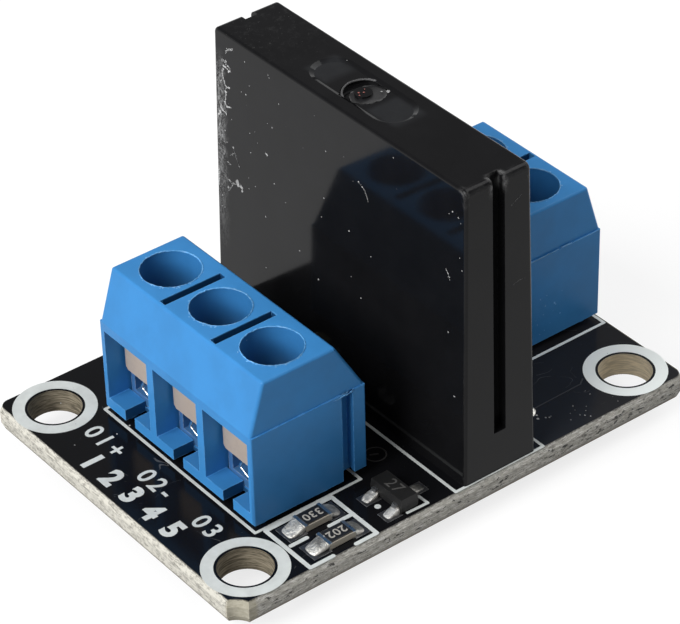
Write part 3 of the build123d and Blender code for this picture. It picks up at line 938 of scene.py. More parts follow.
@dataclass(frozen=True)
class Studio:
    """Floor, world, lamps and camera; the floor and the lamps are sized in metres."""

    floor_size: float = 3.0
    floor_shadow_share: float = 0.25
    floor_colour: float = 0.95
    floor_bounce: float = 0.3
    floor_glow: float = 1.05
    ambient: Point = (0.1, 0.36)
    ambient_height: float = 0.8
    gloss: Point = (1.0, 0.25)
    gloss_height: float = 0.55
    lamps: tuple[tuple[str, Triple, float], ...] = (
        ("key_light", (-0.78, -0.02, 0.625), 6.2), ("fill_light", (0.75, -0.1, 0.65), 1.9))
    lamp_distance: float = 0.7
    lamp_size: float = 0.5
    azimuth: float = -35.972
    elevation: float = 36.561
    roll: float = -2.323
    distance: float = 195.476
    target: Triple = (-0.4, 0.0, 6.6)
    slide: Point = (-2.951, -1.278)
    focal_px: float = 3216.23
    centre_px: Point = (285.48, 346.69)
    frame_px: tuple[int, int] = (680, 624)
    sensor: float = 36.0
    clip: Point = (0.01, 10.0)

    def build(self, floor_height: float) -> None:
        """Makes the whole studio.

        Args:
            floor_height: The floor's height in metres.
        """
        self.floor(floor_height)
        self.world()
        for name, direction, watts in self.lamps:
            self.lamp(name, direction, watts)
        self.camera()
        bpy.context.scene.view_settings.view_transform = "Standard"

    def floor(self, height: float) -> None:
        """Lays a pale floor that keeps a soft shadow.

        Args:
            height: The floor's height in metres.
        """
        bpy.ops.mesh.primitive_plane_add(size=self.floor_size, location=(0.0, 0.0, height))
        floor = bpy.context.object
        floor.name = "floor"
        material = bpy.data.materials.new("floor paper")
        material.use_nodes = True
        tree = material.node_tree
        graph = Graph(tree)
        tree.nodes.remove(tree.nodes["Principled BSDF"])
        path = graph.node("ShaderNodeLightPath").outputs
        seen = graph.most(path["Is Camera Ray"], path["Is Glossy Ray"], path["Is Transmission Ray"])
        tone = graph.blend(seen, self.floor_bounce, self.floor_colour)
        paper = graph.node("ShaderNodeBsdfDiffuse", {"Color": tone})
        glow = graph.node("ShaderNodeEmission", {"Color": (1.0, 1.0, 1.0), "Strength": self.floor_glow})
        share = graph.times(seen, 1.0 - self.floor_shadow_share)
        both = graph.node("ShaderNodeMixShader", {0: share, 1: paper.outputs[0], 2: glow.outputs[0]})
        graph.feed(tree.nodes["Material Output"].inputs["Surface"], both.outputs[0])
        floor.data.materials.append(material)
        floor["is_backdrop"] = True

    def world(self) -> None:
        """Sets an even sky that is white to the camera and darker overhead in reflections."""
        world = bpy.data.worlds.new("soft sky")
        bpy.context.scene.world = world
        world.use_nodes = True
        tree = world.node_tree
        graph = Graph(tree)
        tree.nodes.remove(tree.nodes["Background"])
        path = graph.node("ShaderNodeLightPath").outputs
        height = graph.split(graph.node("ShaderNodeTexCoord").outputs["Generated"])[2]
        shine = graph.blend(graph.step(height, 0.0, self.gloss_height), *self.gloss)
        soft = graph.blend(graph.step(height, 0.0, self.ambient_height), *self.ambient)
        glossy = graph.most(path["Is Glossy Ray"], path["Is Transmission Ray"])
        level = graph.blend(path["Is Camera Ray"], graph.blend(glossy, soft, shine), 1.0)
        sky = graph.node("ShaderNodeBackground", {"Color": (1.0, 1.0, 1.0), "Strength": level})
        graph.feed(tree.nodes["World Output"].inputs["Surface"], sky.outputs[0])

    def lamp(self, name: str, direction: Sequence[float], watts: float) -> None:
        """Hangs a soft square lamp that points at the part.

        Args:
            name: The lamp's name.
            direction: The direction from the part to the lamp.
            watts: Its power.
        """
        away = Vector(direction).normalized()
        bpy.ops.object.light_add(type="AREA", location=away * self.lamp_distance)
        lamp = bpy.context.object
        lamp.name = name
        lamp.data.shape = "SQUARE"
        lamp.data.size = self.lamp_size
        lamp.data.energy = watts
        lamp.rotation_mode = "QUATERNION"
        lamp.rotation_quaternion = (-away).to_track_quat("-Z", "Y")

    def camera(self) -> None:
        """Places the camera at the photograph's viewing angle."""
        azimuth, elevation, roll = (math.radians(angle) for angle in (self.azimuth, self.elevation, self.roll))
        back = Vector((math.sin(azimuth) * math.cos(elevation), -math.cos(azimuth) * math.cos(elevation),
                       math.sin(elevation)))
        level = Vector((math.cos(azimuth), math.sin(azimuth), 0.0))
        up = back.cross(level)
        right = level * math.cos(roll) + up * math.sin(roll)
        top = up * math.cos(roll) - level * math.sin(roll)
        data = bpy.data.cameras.new("photo_camera")
        camera = bpy.data.objects.new("photo_camera", data)
        bpy.context.scene.collection.objects.link(camera)
        spot = Vector(self.target) + back * self.distance + right * self.slide[0] + top * self.slide[1]
        turn = Matrix((right, top, back)).transposed()
        camera.matrix_world = Matrix.Translation(spot * MILLIMETRE) @ turn.to_4x4()
        width, height = self.frame_px
        data.sensor_width = self.sensor
        data.lens = self.focal_px / width * self.sensor
        data.shift_x = (width / 2 - self.centre_px[0]) / width
        data.shift_y = (self.centre_px[1] - height / 2) / width
        data.clip_start, data.clip_end = self.clip
        bpy.context.scene.camera = camera


class Bench:
    """Modelling steps that the new pieces share."""

    @staticmethod
    def clear() -> None:
        """Leaves edit mode and deselects everything."""
        if bpy.context.object and bpy.context.object.mode != "OBJECT":
            bpy.ops.object.mode_set(mode="OBJECT")
        bpy.ops.object.select_all(action="DESELECT")

    @staticmethod
    def pick(*pieces: bpy.types.Object) -> None:
        """Selects pieces alone and makes the first one active.

        Args:
            pieces: The pieces.
        """
        Bench.clear()
        for piece in pieces:
            piece.select_set(True)
        bpy.context.view_layer.objects.active = pieces[0]

    @staticmethod
    def edit(piece: bpy.types.Object) -> None:
        """Opens a piece in edit mode with all of it selected.

        Args:
            piece: The piece.
        """
        Bench.pick(piece)
        bpy.ops.object.mode_set(mode="EDIT")
        bpy.ops.mesh.select_all(action="SELECT")

    @staticmethod
    def settle(*pieces: bpy.types.Object) -> None:
        """Moves the places of pieces into their meshes."""
        Bench.pick(*pieces)
        bpy.ops.object.transform_apply(location=True, rotation=True, scale=True)

    @staticmethod
    def started() -> bpy.types.Object:
        """Settles the primitive that was just added.

        Returns:
            The new object.
        """
        piece = bpy.context.object
        Bench.settle(piece)
        return piece

    @staticmethod
    def thicken(height: float) -> None:
        """Extrudes the piece in edit mode straight up and leaves edit mode.

        Args:
            height: How far it is extruded.
        """
        bpy.ops.mesh.select_all(action="SELECT")
        bpy.ops.mesh.extrude_region_move(TRANSFORM_OT_translate={"value": (0.0, 0.0, height * MILLIMETRE)})
        bpy.ops.object.mode_set(mode="OBJECT")

    @staticmethod
    def ragged(piece: bpy.types.Object, amount: float, seed: int) -> None:
        """Shakes every point of a piece a little.

        Args:
            piece: The piece.
            amount: How far a point may move.
            seed: The number that fixes the pattern.
        """
        Bench.edit(piece)
        bpy.ops.transform.vertex_random(offset=amount * MILLIMETRE, seed=seed)
        bpy.ops.object.mode_set(mode="OBJECT")

    @staticmethod
    def modified(piece: bpy.types.Object, kind: str, **settings: float) -> None:
        """Adds a modifier to a piece and applies it.

        Args:
            piece: The piece.
            kind: The modifier's type name.
            settings: The modifier's properties.
        """
        Bench.pick(piece)
        bpy.ops.object.modifier_add(type=kind)
        modifier = piece.modifiers[-1]
        for name, value in settings.items():
            setattr(modifier, name, value)
        bpy.ops.object.modifier_apply(modifier=modifier.name)

    @staticmethod
    def twin(piece: bpy.types.Object) -> bpy.types.Object:
        """Copies a piece with a mesh of its own.

        Args:
            piece: The piece.

        Returns:
            The copy.
        """
        copy = piece.copy()
        copy.data = piece.data.copy()
        bpy.context.scene.collection.objects.link(copy)
        return copy

    @staticmethod
    def joined(parts: Sequence[bpy.types.Object]) -> bpy.types.Object:
        """Joins several objects into one piece.

        Args:
            parts: The objects.

        Returns:
            The joined piece.
        """
        Bench.pick(*parts)
        bpy.ops.object.join()
        return bpy.context.object

    @staticmethod
    def dress(piece: bpy.types.Object, name: str, finish: Finish, slot: Slot) -> None:
        """Gives a finished piece its name, material and body.

        Args:
            piece: The piece.
            name: Its name.
            finish: Its finish.
            slot: The record's slot that it belongs to.
        """
        piece.data.materials.clear()
        piece.data.materials.append(finish.material())
        Bench.assign(piece, name, slot)

    @staticmethod
    def assign(piece: bpy.types.Object, name: str, slot: Slot) -> None:
        """Names a piece and tells the frame that the board carries it.

        Args:
            piece: The piece.
            name: Its name.
            slot: Not used.
        """
        piece.name = name
        piece.data.name = name
        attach(piece, BOARD_BODY)
        LOG.info("piece %s, %d faces", piece.name, len(piece.data.polygons))


# Painted light: the white ink is painted half again as light towards the output side.
WHITE_INK = Ink("silk ink", far=1.5)
RELIEF = Ink("copper edge under mask", colour=(0.045, 0.043, 0.042), roughness=0.3, pinholes=0.0)
PALE_INK = Ink("chip figures", colour=(0.4, 0.38, 0.34), pinholes=0.06)
FAINT_INK = Ink("laser figures", colour=(0.07, 0.068, 0.065), roughness=0.6, pinholes=0.09)
MELTED = Metal("melted solder", colour=(0.88, 0.86, 0.8), dull=(0.13, 0.13, 0.125), roughness=0.3, height=0.1,
               dull_share=0.45, metallic=0.8)
PADS = Metal("tinned pads", colour=(0.3, 0.3, 0.31), dull=(0.1, 0.1, 0.105), roughness=0.32, height=0.04,
             dull_share=0.55)
BRIGHT = Metal("bright cut tin", colour=(0.9, 0.89, 0.86), dull=(0.55, 0.54, 0.5), roughness=0.16, height=0.012)
CHALK = MouldedPlastic("rubbed dust", colour=(0.36, 0.36, 0.36), worn=(0.6, 0.6, 0.6), roughness=0.8,
                       tone_share=0.6, skin_height=0.01, skin_scale=30.0, dust_share=0.0)
# Lighter blue for moulding flash and crumbs, and for the painted highlight on the output shoulder.
FLASH_AND_HIGHLIGHT = MouldedPlastic("blue flash", colour=(0.1, 0.34, 0.66), worn=(0.25, 0.5, 0.8), roughness=0.4,
                       tone_share=0.35, skin_height=0.01, skin_scale=30.0, dust_share=0.0)
RUBBED = MouldedPlastic("rubbed case plastic", colour=(0.06, 0.06, 0.062), worn=(0.12, 0.12, 0.12), roughness=0.5,
                        tone_share=0.4, dust_share=0.0)
TORN = MouldedPlastic("torn case plastic", colour=(0.012, 0.012, 0.013), worn=(0.07, 0.07, 0.07), roughness=0.34,
                      wear_radius=0.15, wear_amount=0.9)
RUST = MouldedPlastic("reddish specks", colour=(0.2, 0.06, 0.05), worn=(0.3, 0.1, 0.08), roughness=0.5,
                      dust_share=0.0)


@dataclass(frozen=True)
class Figures:
    """A line of plain printed figures."""

    text: str
    size: float
    turn: float
    bold: float = 0.0
    spacing: float = 1.0


@dataclass
class Print:
    """Screen print, first of all on the board's top face."""

    surface: float = BOARD_HEIGHT
    sunk: float = 0.006
    thickness: float = 0.02
    overlap: float = 0.0012
    corner_share: float = 0.46
    steps: int = 4
    figure_share: float = 1.35
    ring_radii: Point = (1.865, 2.64)
    ring_points: int = 96
    outlines: tuple = (
        ("input_outline_print", 0.2, WHITE_INK, (
            ((-12.45, -7.75), (-12.45, 7.63)), ((-12.45, -7.75), (-4.6, -7.75)),
            ((-4.6, -7.75), (-4.6, 7.63)), ((-12.45, 7.63), (-4.6, 7.63)))),
        ("resistor_box_print", 0.28, WHITE_INK, (
            ((-11.87, -7.98), (-11.87, -12.26)), ((-11.87, -12.26), (-10.2, -12.26)),
            ((-8.5, -12.26), (-6.98, -12.26)), ((-6.98, -12.26), (-6.98, -7.98)),
            ((-11.87, -7.98), (-6.98, -7.98)), ((-11.55, -10.0), (-10.4, -10.0)),
            ((-8.7, -10.0), (-7.07, -10.0)))),
        ("transistor_mark_print", 0.2, WHITE_INK, (
            ((-4.43, -11.96), (-2.94, -12.01)), ((-2.94, -12.01), (-2.97, -11.22)))),
        ("relay_outline_print", 0.2, WHITE_INK, (
            ((-0.95, 12.1), (-1.02, -12.29)), ((-1.02, -12.29), (5.8, -12.29)), ((5.8, -12.29), (5.8, 12.1)),
            ((-0.95, 12.1), (5.8, 12.1)))),
        ("output_outline_print", 0.2, WHITE_INK, (
            ((10.2, -5.25), (17.0, -5.25)), ((17.0, -5.25), (17.0, 5.95)), ((17.0, 5.95), (9.6, 5.95)))),
        ("track_print", 0.09, RELIEF, (((7.9, -9.15), (11.6, -9.11)), ((11.6, -9.11), (12.06, -8.79)))),
        ("pad_bar_print", 0.12, RELIEF, (((-2.72, -6.3), (-2.3, -6.52)),)))
    rings: tuple = (("pad_ring_print", (-2.45, -6.45), (0.62, 0.72), RELIEF),
                    ("dot_print", (-5.42, -10.4), (0.02, 0.2), WHITE_INK))
    figures: tuple = (
        ("pole_print_1", (-14.3, 5.0), Figures("01+", 1.3, -90.0, 0.03, 1.3)),
        ("pole_print_2", (-14.3, -0.3), Figures("02-", 1.3, -90.0, 0.03, 1.3)),
        ("pole_print_3", (-14.3, -5.45), Figures("03", 1.3, -90.0, 0.03, 1.3)),
        ("row_print", (-16.05, -0.25), Figures("12345", 1.5, -90.0, 0.1, 2.05)))

    def stroke(self, start: Point, end: Point, width: float, extra: float) -> bpy.types.Object:
        """Lays one printed line with rounded ends.

        Args:
            start: One end.
            end: The other end.
            width: The line's width.
            extra: More ink, so that lines that cross don't share one surface.

        Returns:
            The line.
        """
        run = Vector(end) - Vector(start)
        middle = (Vector(start) + Vector(end)) / 2
        Bench.clear()
        bpy.ops.mesh.primitive_plane_add(size=1.0, location=metres(*middle, self.surface - self.sunk),
                                         rotation=(0.0, 0.0, math.atan2(run.y, run.x)))
        line = bpy.context.object
        line.scale = ((run.length + width) * MILLIMETRE, width * MILLIMETRE, 1.0)
        Bench.settle(line)
        Bench.edit(line)
        bpy.ops.mesh.bevel(offset=width * self.corner_share * MILLIMETRE, segments=self.steps, affect="VERTICES")
        Bench.thicken(self.thickness + self.sunk + extra)
        return line

    def outline(self, name: str, width: float, finish: Finish, lines: Iterable[tuple[Point, Point]]) -> None:
        """Prints an outline of straight lines.

        Args:
            name: The piece's name.
            width: The lines' width.
            finish: The ink.
            lines: The lines' ends.
        """
        strokes = [self.stroke(start, end, width, number * self.overlap)
                   for number, (start, end) in enumerate(lines)]
        Bench.dress(Bench.joined(strokes), name, finish, Slot.MASK)

    def ring(self, name: str, centre: Point, radii: Point, finish: Finish) -> None:
        """Prints a flat ring.

        Args:
            name: The piece's name.
            centre: Its centre.
            radii: Its inner and outer radius.
            finish: The ink.
        """
        Bench.clear()
        bpy.ops.mesh.primitive_circle_add(
            vertices=self.ring_points, radius=radii[1] * MILLIMETRE, fill_type="NGON",
            location=metres(*centre, self.surface - self.sunk))
        ring = Bench.started()
        Bench.edit(ring)
        bpy.ops.mesh.inset(thickness=(radii[1] - radii[0]) * MILLIMETRE)
        bpy.ops.mesh.delete(type="FACE")
        Bench.thicken(self.thickness + self.sunk)
        Bench.dress(ring, name, finish, Slot.MASK)

    def words(self, name: str, place: Point, figures: Figures, finish: Finish, slot: Slot) -> None:
        """Prints plain figures.

        Args:
            name: The piece's name.
            place: The middle of the line of figures.
            figures: The figures.
            finish: The ink.
            slot: The record's slot.
        """
        Bench.clear()
        bpy.ops.object.text_add(location=metres(*place, self.surface),
                                rotation=(0.0, 0.0, math.radians(figures.turn)))
        text = bpy.context.object.data
        text.body = figures.text
        text.size = figures.size * MILLIMETRE * self.figure_share
        text.align_x = "CENTER"
        text.align_y = "CENTER"
        text.extrude = self.thickness * MILLIMETRE / 2
        text.offset = figures.bold * MILLIMETRE
        text.resolution_u = self.steps
        text.space_character = figures.spacing
        bpy.ops.object.convert(target="MESH")
        Bench.dress(Bench.started(), name, finish, slot)

    def build(self) -> None:
        """Prints everything on the board's top face."""
        for number, (side_x, side_y) in enumerate(((-1, -1), (-1, 1), (1, -1), (1, 1)), 1):
            self.ring(f"ring_print_{number}", (side_x * HOLE_AT[0], side_y * HOLE_AT[1]), self.ring_radii,
                      WHITE_INK)
        for outline in self.outlines:
            self.outline(*outline)
        for ring in self.rings:
            self.ring(*ring)
        for name, place, figures in self.figures:
            self.words(name, place, figures, WHITE_INK, Slot.MASK)


@dataclass(frozen=True)
class Facet:
    """A flat face of the part, with its own directions across and up."""

    origin: Triple
    across: Triple = (1.0, 0.0, 0.0)
    up: Triple = (0.0, 1.0, 0.0)

    def lay(self, piece: bpy.types.Object) -> None:
        """Lays a piece that was made flat at the origin on this face.

        Args:
            piece: The piece.
        """
        across = Vector(self.across).normalized()
        out = across.cross(Vector(self.up)).normalized()
        turn = Matrix((across, out.cross(across), out)).transposed().to_4x4()
        piece.matrix_world = Matrix.Translation(metres(*self.origin)) @ turn @ piece.matrix_world
        Bench.settle(piece)


@dataclass
class Marks:
    """Scratches and crumbs that lie on a flat face."""

    facet: Facet
    flatness: float = 0.35
    seed: int = 5
    end_width: float = 0.45
    trail_apart: float = 0.055
    trail_spread: float = 0.045
    trail_sizes: tuple[float, ...] = (0.4, 0.6, 0.9, 1.3)
    crumb_ragged: float = 0.16
    crumb_stretch: Point = (0.7, 1.3)

    def lines(self, name: str, strokes: Sequence[Stroke], finish: Finish, slot: Slot,
              rough: float = 0.015) -> None:
        """Lays thin uneven lines.

        Args:
            name: The piece's name.
            strokes: Each line's width and the places that it runs through.
            finish: Its finish.
            slot: The record's slot.
            rough: How uneven the lines are.
        """
        Bench.clear()
        bpy.ops.curve.primitive_bezier_curve_add(location=(0.0, 0.0, 0.0))
        curve = bpy.context.object.data
        curve.splines.clear()
        for width, places in strokes:
            spline = curve.splines.new("NURBS")
            spline.points.add(len(places) - 1)
            for number, (point, (across, up)) in enumerate(zip(spline.points, places)):
                inner = 0 < number < len(places) - 1
                point.co = (*metres(across, up, 0.0), 1.0)
                point.radius = width * (1.0 if inner or len(places) == 2 else self.end_width)
            spline.order_u = 3
            spline.use_endpoint_u = True
            spline.resolution_u = 6
        curve.bevel_depth = MILLIMETRE / 2
        curve.bevel_resolution = 1
        curve.use_fill_caps = True
        bpy.ops.object.convert(target="MESH")
        piece = bpy.context.object
        piece.scale = (1.0, 1.0, self.flatness)
        Bench.settle(piece)
        Bench.ragged(piece, rough, self.seed)
        self.facet.lay(piece)
        Bench.dress(piece, name, finish, slot)

    def trail(self, strokes: Sequence[Stroke]) -> list[Triple]:
        """Breaks lines up into crumbs that lie beside them.

        Args:
            strokes: Each line's width and the places that it runs through.

        Returns:
            Each crumb's place and size.
        """
        chance = random.Random(self.seed + 1)
        found = []
        for width, places in strokes:
            for (left, low), (right, high) in zip(places, places[1:]):
                count = max(2, round(math.hypot(right - left, high - low) / self.trail_apart))
                for step in range(count):
                    share = (step + chance.random()) / count
                    found.append((left + (right - left) * share + chance.gauss(0.0, self.trail_spread),
                                  low + (high - low) * share + chance.gauss(0.0, self.trail_spread),
                                  width * chance.choice(self.trail_sizes)))
        return found

    def crumbs(self, name: str, spots: Sequence[Triple], finish: Finish, slot: Slot) -> None:
        """Lays small broken crumbs.

        Args:
            name: The piece's name.
            spots: Each crumb's place on the face and its size.
            finish: Its finish.
            slot: The record's slot.
        """
        chance = random.Random(self.seed)
        Bench.clear()
        bpy.ops.mesh.primitive_ico_sphere_add(subdivisions=2, radius=MILLIMETRE / 2)
        first = bpy.context.object
        Bench.ragged(first, self.crumb_ragged, self.seed)
        parts = [first] + [Bench.twin(first) for _ in spots[1:]]
        for part, (across, up, size) in zip(parts, spots):
            part.rotation_euler = (0.0, 0.0, chance.uniform(0.0, math.tau))
            part.scale = (size * chance.uniform(*self.crumb_stretch), size, size * self.flatness)
            part.location = metres(across, up, 0.0)
        Bench.settle(*parts)
        piece = Bench.joined(parts)
        self.facet.lay(piece)
        Bench.dress(piece, name, finish, slot)


@dataclass
class RelayWear:
    """What rubbed off on the relay: branching scratches, crumbs, hairs and the torn gate."""

    front: Facet = Facet((-0.35, 0.0, BOARD_HEIGHT), (0.0, -1.0, 0.0), (0.01816, 0.0, 1.0))
    end: Facet = Facet((0.0, -12.3, BOARD_HEIGHT), (1.0, 0.0, 0.0), (0.0, 0.01695, 1.0))
    top: Facet = Facet((0.0, 0.0, 22.225))
    board: Facet = Facet((0.0, 0.0, BOARD_HEIGHT))
    pit: Facet = Facet((0.0, 0.0, 22.13))
    line_share: float = 0.45
    front_scratches: tuple[Stroke, ...] = (
        (0.07, ((10.62, 20.84), (10.38, 21.2), (9.95, 21.32))), (0.05, ((10.38, 21.2), (9.78, 21.5))),
        (0.06, ((11.08, 20.06), (10.57, 20.33), (10.66, 20.06))),
        (0.13, ((10.88, 19.86), (10.53, 19.78), (10.14, 19.74))),
        (0.06, ((10.61, 20.09), (10.26, 20.0), (10.15, 19.83))),
        (0.09, ((10.88, 19.83), (10.98, 19.27), (10.89, 18.82), (10.73, 18.44), (10.37, 18.48))),
        (0.05, ((11.0, 18.86), (11.31, 18.42), (11.5, 18.16))),
        (0.09, ((10.74, 18.29), (10.68, 17.82), (10.79, 17.27), (10.66, 17.03), (10.26, 17.17))),
        (0.07, ((11.24, 17.0), (11.09, 16.52), (10.75, 16.58), (10.69, 16.39))),
        (0.06, ((11.5, 16.48), (11.42, 16.26), (11.13, 16.25))),
        (0.09, ((11.4, 15.54), (11.5, 15.2), (11.62, 14.98))), (0.05, ((11.55, 15.32), (11.31, 15.54))),
        (0.05, ((11.55, 14.63), (11.28, 14.76), (11.09, 14.7))),
        (0.04, ((11.08, 14.34), (10.87, 14.3), (10.64, 14.46))),
        (0.035, ((10.07, 14.28), (9.94, 13.99), (9.74, 13.63), (9.47, 13.15))),
        (0.045, ((10.46, 13.63), (9.91, 13.99))), (0.045, ((10.78, 13.01), (10.57, 12.96), (10.36, 12.96))),
        (0.06, ((10.77, 11.72), (10.26, 11.64), (9.87, 11.73))), (0.05, ((10.19, 11.65), (10.74, 10.88))),
        (0.09, ((9.45, 12.01), (9.27, 11.64))), (0.2, ((9.85, 12.08), (9.67, 11.83))),
        (0.07, ((11.68, 12.4), (11.7, 11.65), (11.71, 10.8))), (0.05, ((11.6, 9.43), (11.4, 9.34))),
        (0.08, ((6.78, 15.67), (6.7, 15.54), (6.6, 15.44))),
        (0.035, ((-2.31, 18.1), (-2.77, 17.92), (-3.03, 17.62), (-3.22, 17.18))),
        (0.05, ((-10.32, 16.3), (-10.51, 16.02), (-10.66, 15.67))))
    front_crumbs: tuple[Triple, ...] = (
        (6.33, 21.3, 0.07), (6.22, 21.15, 0.06), (8.62, 18.85, 0.1), (9.1, 18.82, 0.06), (10.19, 16.33, 0.05),
        (8.33, 16.25, 0.08), (7.82, 16.6, 0.05), (6.51, 17.83, 0.05), (0.8, 18.68, 0.08), (8.29, 14.88, 0.06),
        (8.59, 12.9, 0.07), (5.95, 13.8, 0.1), (8.58, 12.11, 0.07), (7.91, 12.6, 0.06), (4.85, 12.99, 0.06),
        (1.03, 15.28, 0.09), (6.93, 10.89, 0.08), (1.29, 13.81, 0.07), (8.65, 21.14, 0.07), (7.57, 15.92, 0.05),
        (-2.31, 18.13, 0.1), (10.37, 17.12, 0.15), (10.33, 18.5, 0.11), (11.16, 18.64, 0.07), (1.68, 9.05, 0.11),
        (3.52, 10.18, 0.09), (-1.38, 14.19, 0.11), (-3.44, 13.44, 0.08), (-2.48, 9.93, 0.1), (-1.54, 11.0, 0.07),
        (7.03, 7.05, 0.09), (-10.58, 11.98, 0.11), (-11.22, 7.72, 0.1), (-11.5, 17.64, 0.08),
        (9.78, 11.98, 0.3), (9.7, 11.8, 0.24), (9.38, 11.8, 0.2), (9.3, 11.55, 0.17), (10.75, 11.12, 0.16),
        (10.1, 14.35, 0.14), (10.6, 11.7, 0.13), (10.35, 19.65, 0.12), (11.35, 16.35, 0.18), (11.5, 16.1, 0.14),
        (11.25, 16.7, 0.12), (10.9, 15.2, 0.1), (11.1, 13.4, 0.09), (11.4, 10.2, 0.12), (11.2, 9.4, 0.09),
        (-11.33, 20.28, 0.11), (-10.82, 20.43, 0.09), (-10.52, 20.14, 0.07), (-11.55, 20.0, 0.06))
    end_scratches: tuple[Stroke, ...] = (
        (0.05, ((3.3, 19.98), (3.74, 20.26), (4.11, 20.43))), (0.04, ((3.47, 14.47), (3.89, 14.7), (4.34, 14.57))))
    top_crumbs: tuple[Triple, ...] = (
        (3.09, 9.74, 0.12), (2.54, 7.83, 0.08), (2.56, 7.36, 0.09), (2.0, 8.6, 0.06), (3.4, 9.0, 0.05),
        (1.1, 7.2, 0.06), (1.6, 10.2, 0.06), (0.9, 9.1, 0.05), (3.7, 3.4, 0.05), (2.9, -7.2, 0.06),
        (1.2, -6.0, 0.05), (3.3, -10.3, 0.06), (1.5, 5.2, 0.05), (2.2, 11.1, 0.07), (2.8, 6.1, 0.05))
    board_crumbs: tuple[Triple, ...] = (
        (7.5, -9.75, 0.13), (7.32, -10.04, 0.15), (7.77, -10.26, 0.1), (7.95, -10.39, 0.11), (8.1, -10.36, 0.06),
        (9.8, -10.46, 0.1), (9.63, -10.84, 0.07), (9.54, -11.4, 0.08), (9.75, -11.61, 0.1), (9.96, -11.9, 0.07),
        (11.37, -9.8, 0.06), (11.4, -10.22, 0.08), (12.24, -11.84, 0.07), (10.1, -11.3, 0.06),
        (10.4, -11.0, 0.06), (9.2, -10.9, 0.05), (8.8, -11.4, 0.06), (-14.2, 9.9, 0.07), (-10.6, 9.3, 0.08),
        (-15.9, 5.9, 0.08), (-11.0, -6.7, 0.05), (-4.4, -7.0, 0.06), (-3.0, -9.2, 0.06), (6.4, 10.6, 0.07),
        (8.0, 8.0, 0.06), (13.0, 8.4, 0.06), (15.2, 2.0, 0.07))
    gate_chips: tuple[Triple, ...] = ((3.5, -0.75, 0.22), (3.2, -0.5, 0.1))
    gate_specks: tuple[Triple, ...] = ((2.1, 0.25, 0.12), (2.35, 0.1, 0.1), (1.95, 0.0, 0.09), (2.6, 0.35, 0.08))
    gate_at: Point = (2.45, 0.05)
    disc_z: float = 21.86
    disc_radius: float = 1.12
    disc_height: float = 0.26
    disc_tilt: Point = (-7.0, -2.5)
    disc_step: float = 0.22
    disc_slide: Triple = (0.1, -0.14, -0.02)
    disc_ragged: float = 0.06
    rim_z: float = 22.06
    rim_radii: Point = (1.4, 0.06)
    rim_tilt: float = 3.5
    rim_ragged: float = 0.02
    disc_sides: int = 28
    rim_sides: tuple[int, int] = (96, 8)
    seeds: tuple[int, int] = (11, 12)

    def build(self) -> None:
        """Lays every mark on the relay and the torn gate in its ring."""
        front = Marks(self.front)
        rubbed = [(width, [(-y, z - BOARD_HEIGHT) for y, z in places]) for width, places in self.front_scratches]
        front.lines("relay_front_scratches", [(width * self.line_share, places) for width, places in rubbed],
                    CHALK, Slot.RELAY, rough=0.03)
        front.crumbs("relay_front_residue", front.trail(rubbed), CHALK, Slot.RELAY)
        front.crumbs("relay_front_crumbs", [(-y, z - BOARD_HEIGHT, size) for y, z, size in self.front_crumbs],
                     CHALK, Slot.RELAY)
        Marks(self.end).lines("relay_end_scratches", [
            (width, [(x, z - BOARD_HEIGHT) for x, z in places]) for width, places in self.end_scratches],
            RUBBED, Slot.RELAY)
        Marks(self.top, flatness=0.2).crumbs("relay_top_crumbs", self.top_crumbs, CHALK, Slot.RELAY)
        Marks(self.board).crumbs("board_crumbs", self.board_crumbs, CHALK, Slot.MASK)
        self.torn_disc()
        self.torn_rim()
        Marks(self.pit, flatness=0.5).crumbs("gate_chip", self.gate_chips, CHALK, Slot.RELAY)
        Marks(self.pit, flatness=0.5).crumbs("gate_specks", self.gate_specks, RUST, Slot.RELAY)

    def torn_disc(self) -> None:
        """Sets a tilted, stepped and broken disc where the case was moulded."""
        Bench.clear()
        bpy.ops.mesh.primitive_cylinder_add(
            vertices=self.disc_sides, radius=self.disc_radius * MILLIMETRE, depth=self.disc_height * MILLIMETRE,
            location=metres(*self.gate_at, self.disc_z), rotation=(*map(math.radians, self.disc_tilt), 0.0))
        disc = Bench.started()
        Bench.edit(disc)
        bpy.ops.mesh.inset(thickness=self.disc_step * MILLIMETRE)
        bpy.ops.transform.translate(value=metres(*self.disc_slide))
        Bench.ragged(disc, self.disc_ragged, self.seeds[0])
        Bench.dress(disc, "gate_scar", TORN, Slot.RELAY)

    def torn_rim(self) -> None:
        """Lays the uneven rim round the broken disc."""
        Bench.clear()
        bpy.ops.mesh.primitive_torus_add(
            major_segments=self.rim_sides[0], minor_segments=self.rim_sides[1],
            major_radius=self.rim_radii[0] * MILLIMETRE, minor_radius=self.rim_radii[1] * MILLIMETRE,
            location=metres(*self.gate_at, self.rim_z), rotation=(math.radians(self.rim_tilt), 0.0, 0.0))
        rim = Bench.started()
        Bench.ragged(rim, self.rim_ragged, self.seeds[1])
        Bench.dress(rim, "gate_rim", RUBBED, Slot.RELAY)


